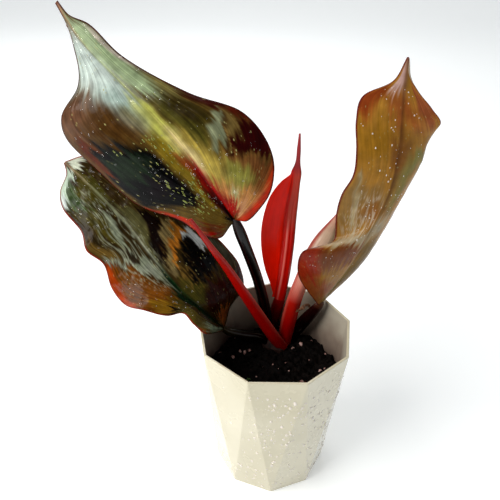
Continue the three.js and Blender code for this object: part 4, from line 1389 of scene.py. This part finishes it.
def on_grid(grid, share, side):
    """Values of a blade's grid at shares and sides between its points."""
    row, column = share * (leaf_rows - 1), (side + 1) / 2 * (leaf_columns - 1)
    r, c = row.astype(int), column.astype(int)
    u, v = (row - r)[:, None], (column - c)[:, None]
    near = grid[r, c] * (1 - v) + grid[r, c + 1] * v
    far = grid[r + 1, c] * (1 - v) + grid[r + 1, c + 1] * v
    return near * (1 - u) + far * u


def sprayed(count, share_range, side_range, size_range, seed, named=()):
    """Shares, sides, radii and stretches of random drops in patches, after those of the named ones."""
    rng = np.random.default_rng(seed)
    share = rng.uniform(*share_range, 5 * count)
    side = rng.uniform(*side_range, 5 * count)
    patchy = clouds(flat_places(share, side), 0.22, seed + 1)
    kept = np.flatnonzero(patchy > 0.35 + 0.4 * rng.random(5 * count))[:count]
    radii = size_range[0] + (size_range[1] - size_range[0]) * rng.random(len(kept)) ** 2.5
    stretch = 1 + 0.9 * rng.random(len(kept)) ** 2
    random_drops = np.column_stack([share[kept], side[kept], radii, stretch])
    return np.concatenate([np.reshape(named, (-1, 4)), random_drops]).T


def water(name, colour, clearness):
    """Water, less clear the brighter its drops have to show: the colour of its less clear part is painted
    light on the drops.
    """
    constants = {"Roughness": 0.03, "IOR": 1.33, "Transmission_Weight": clearness}
    return new_material(name, Base_Color=(*colour, 1), **constants)[0]


# Each water's white or tinted part is painted light: white for bright specks of highlight, yellow-green for
# the leaf's light seen in the drops.
clear_water = water("clear_water", (1, 1, 1), 0.95)
lit_water = water("lit_water", (0.36, 0.40, 0.10), 0.6)
bright_water = water("bright_water", (1, 0.94, 0.88), 0.45)
big_drops = [
    # share, side, radius and stretch
    (0.596, -0.069, 0.002, 1.2), (0.148, 0.394, 0.0018, 1.1), (0.276, 0.119, 0.0015, 1.1),
]
leaf_sprays = [
    # name, the leaf's upper face and its normals, water, how far each drop is drawn out, and its drops
    ("upper_leaf_drops", upper_face, upper_normal, clear_water, 1,
     sprayed(190, (0.06, 0.92), (-0.9, 0.9), (0.0004, 0.0012), seed=71, named=big_drops)),
    ("upper_leaf_lit_drops", upper_face, upper_normal, lit_water, 2,
     sprayed(100, (0.1, 0.46), (-0.62, -0.06), (0.0003, 0.0008), seed=73)),
    ("low_leaf_drops", low_face, low_normal, clear_water, 1,
     sprayed(130, (0.08, 0.92), (-0.9, 0.85), (0.0004, 0.001), seed=75)),
    ("right_leaf_drops", right_face, right_normal, bright_water, 1,
     sprayed(100, (0.1, 0.92), (-0.9, 0.35), (0.00025, 0.0006), seed=77)),
]
for name, face, normal, material, drawn_out, (share, side, radii, stretch) in leaf_sprays:
    centres, normals = on_grid(face, share, side), unit(on_grid(normal, share, side))
    downhill = on_grid(face, np.clip(share - 0.02, 0.0, 0.97), side) - centres
    drops = drops_object(name, centres, normals, downhill, radii, stretch * drawn_out, material)
    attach(drops, "root")

pot_drop_tries = 2600
pot_drop_top = 0.128
pot_drop_foot = 0.003
pot_drop_least = 0.0004
pot_drop_spread = 0.001
rng = np.random.default_rng(81)
facets = np.array(pot_faces[:2 * pot_corners])
facet = pot_rings[facets[rng.integers(len(facets), size=pot_drop_tries)]]
weights = rng.dirichlet((1, 1, 1), pot_drop_tries)
places = (facet * weights[..., None]).sum(1)
outward = unit(np.cross(facet[:, 1] - facet[:, 0], facet[:, 2] - facet[:, 0]))
outward *= np.sign((outward * places)[:, :2].sum(1))[:, None]
# Drops gather on the front and the right, the more the higher up, and all round the foot.
leaning = np.clip((places[:, 0] + 0.03) / 0.02, 0.06, 1) * np.clip(-places[:, 1] / 0.04, 0.15, 1)
wanted = np.maximum(leaning * np.clip(places[:, 2] / 0.1, 0.35, 1), 0.7 * (places[:, 2] < 0.03))
high_enough = (places[:, 2] < pot_drop_top) & (places[:, 2] > pot_drop_foot)
kept = (rng.random(pot_drop_tries) < wanted) & high_enough
places, outward = places[kept], outward[kept]
radii = pot_drop_least + pot_drop_spread * rng.random(len(places)) ** 2.5
stretch = 1 + 0.5 * rng.random(len(places))
down = np.broadcast_to([0.0, 0.0, -1.0], places.shape)
pot_drops = drops_object("pot_drops", places, outward, down, radii, stretch, bright_water)
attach(pot_drops, "root")
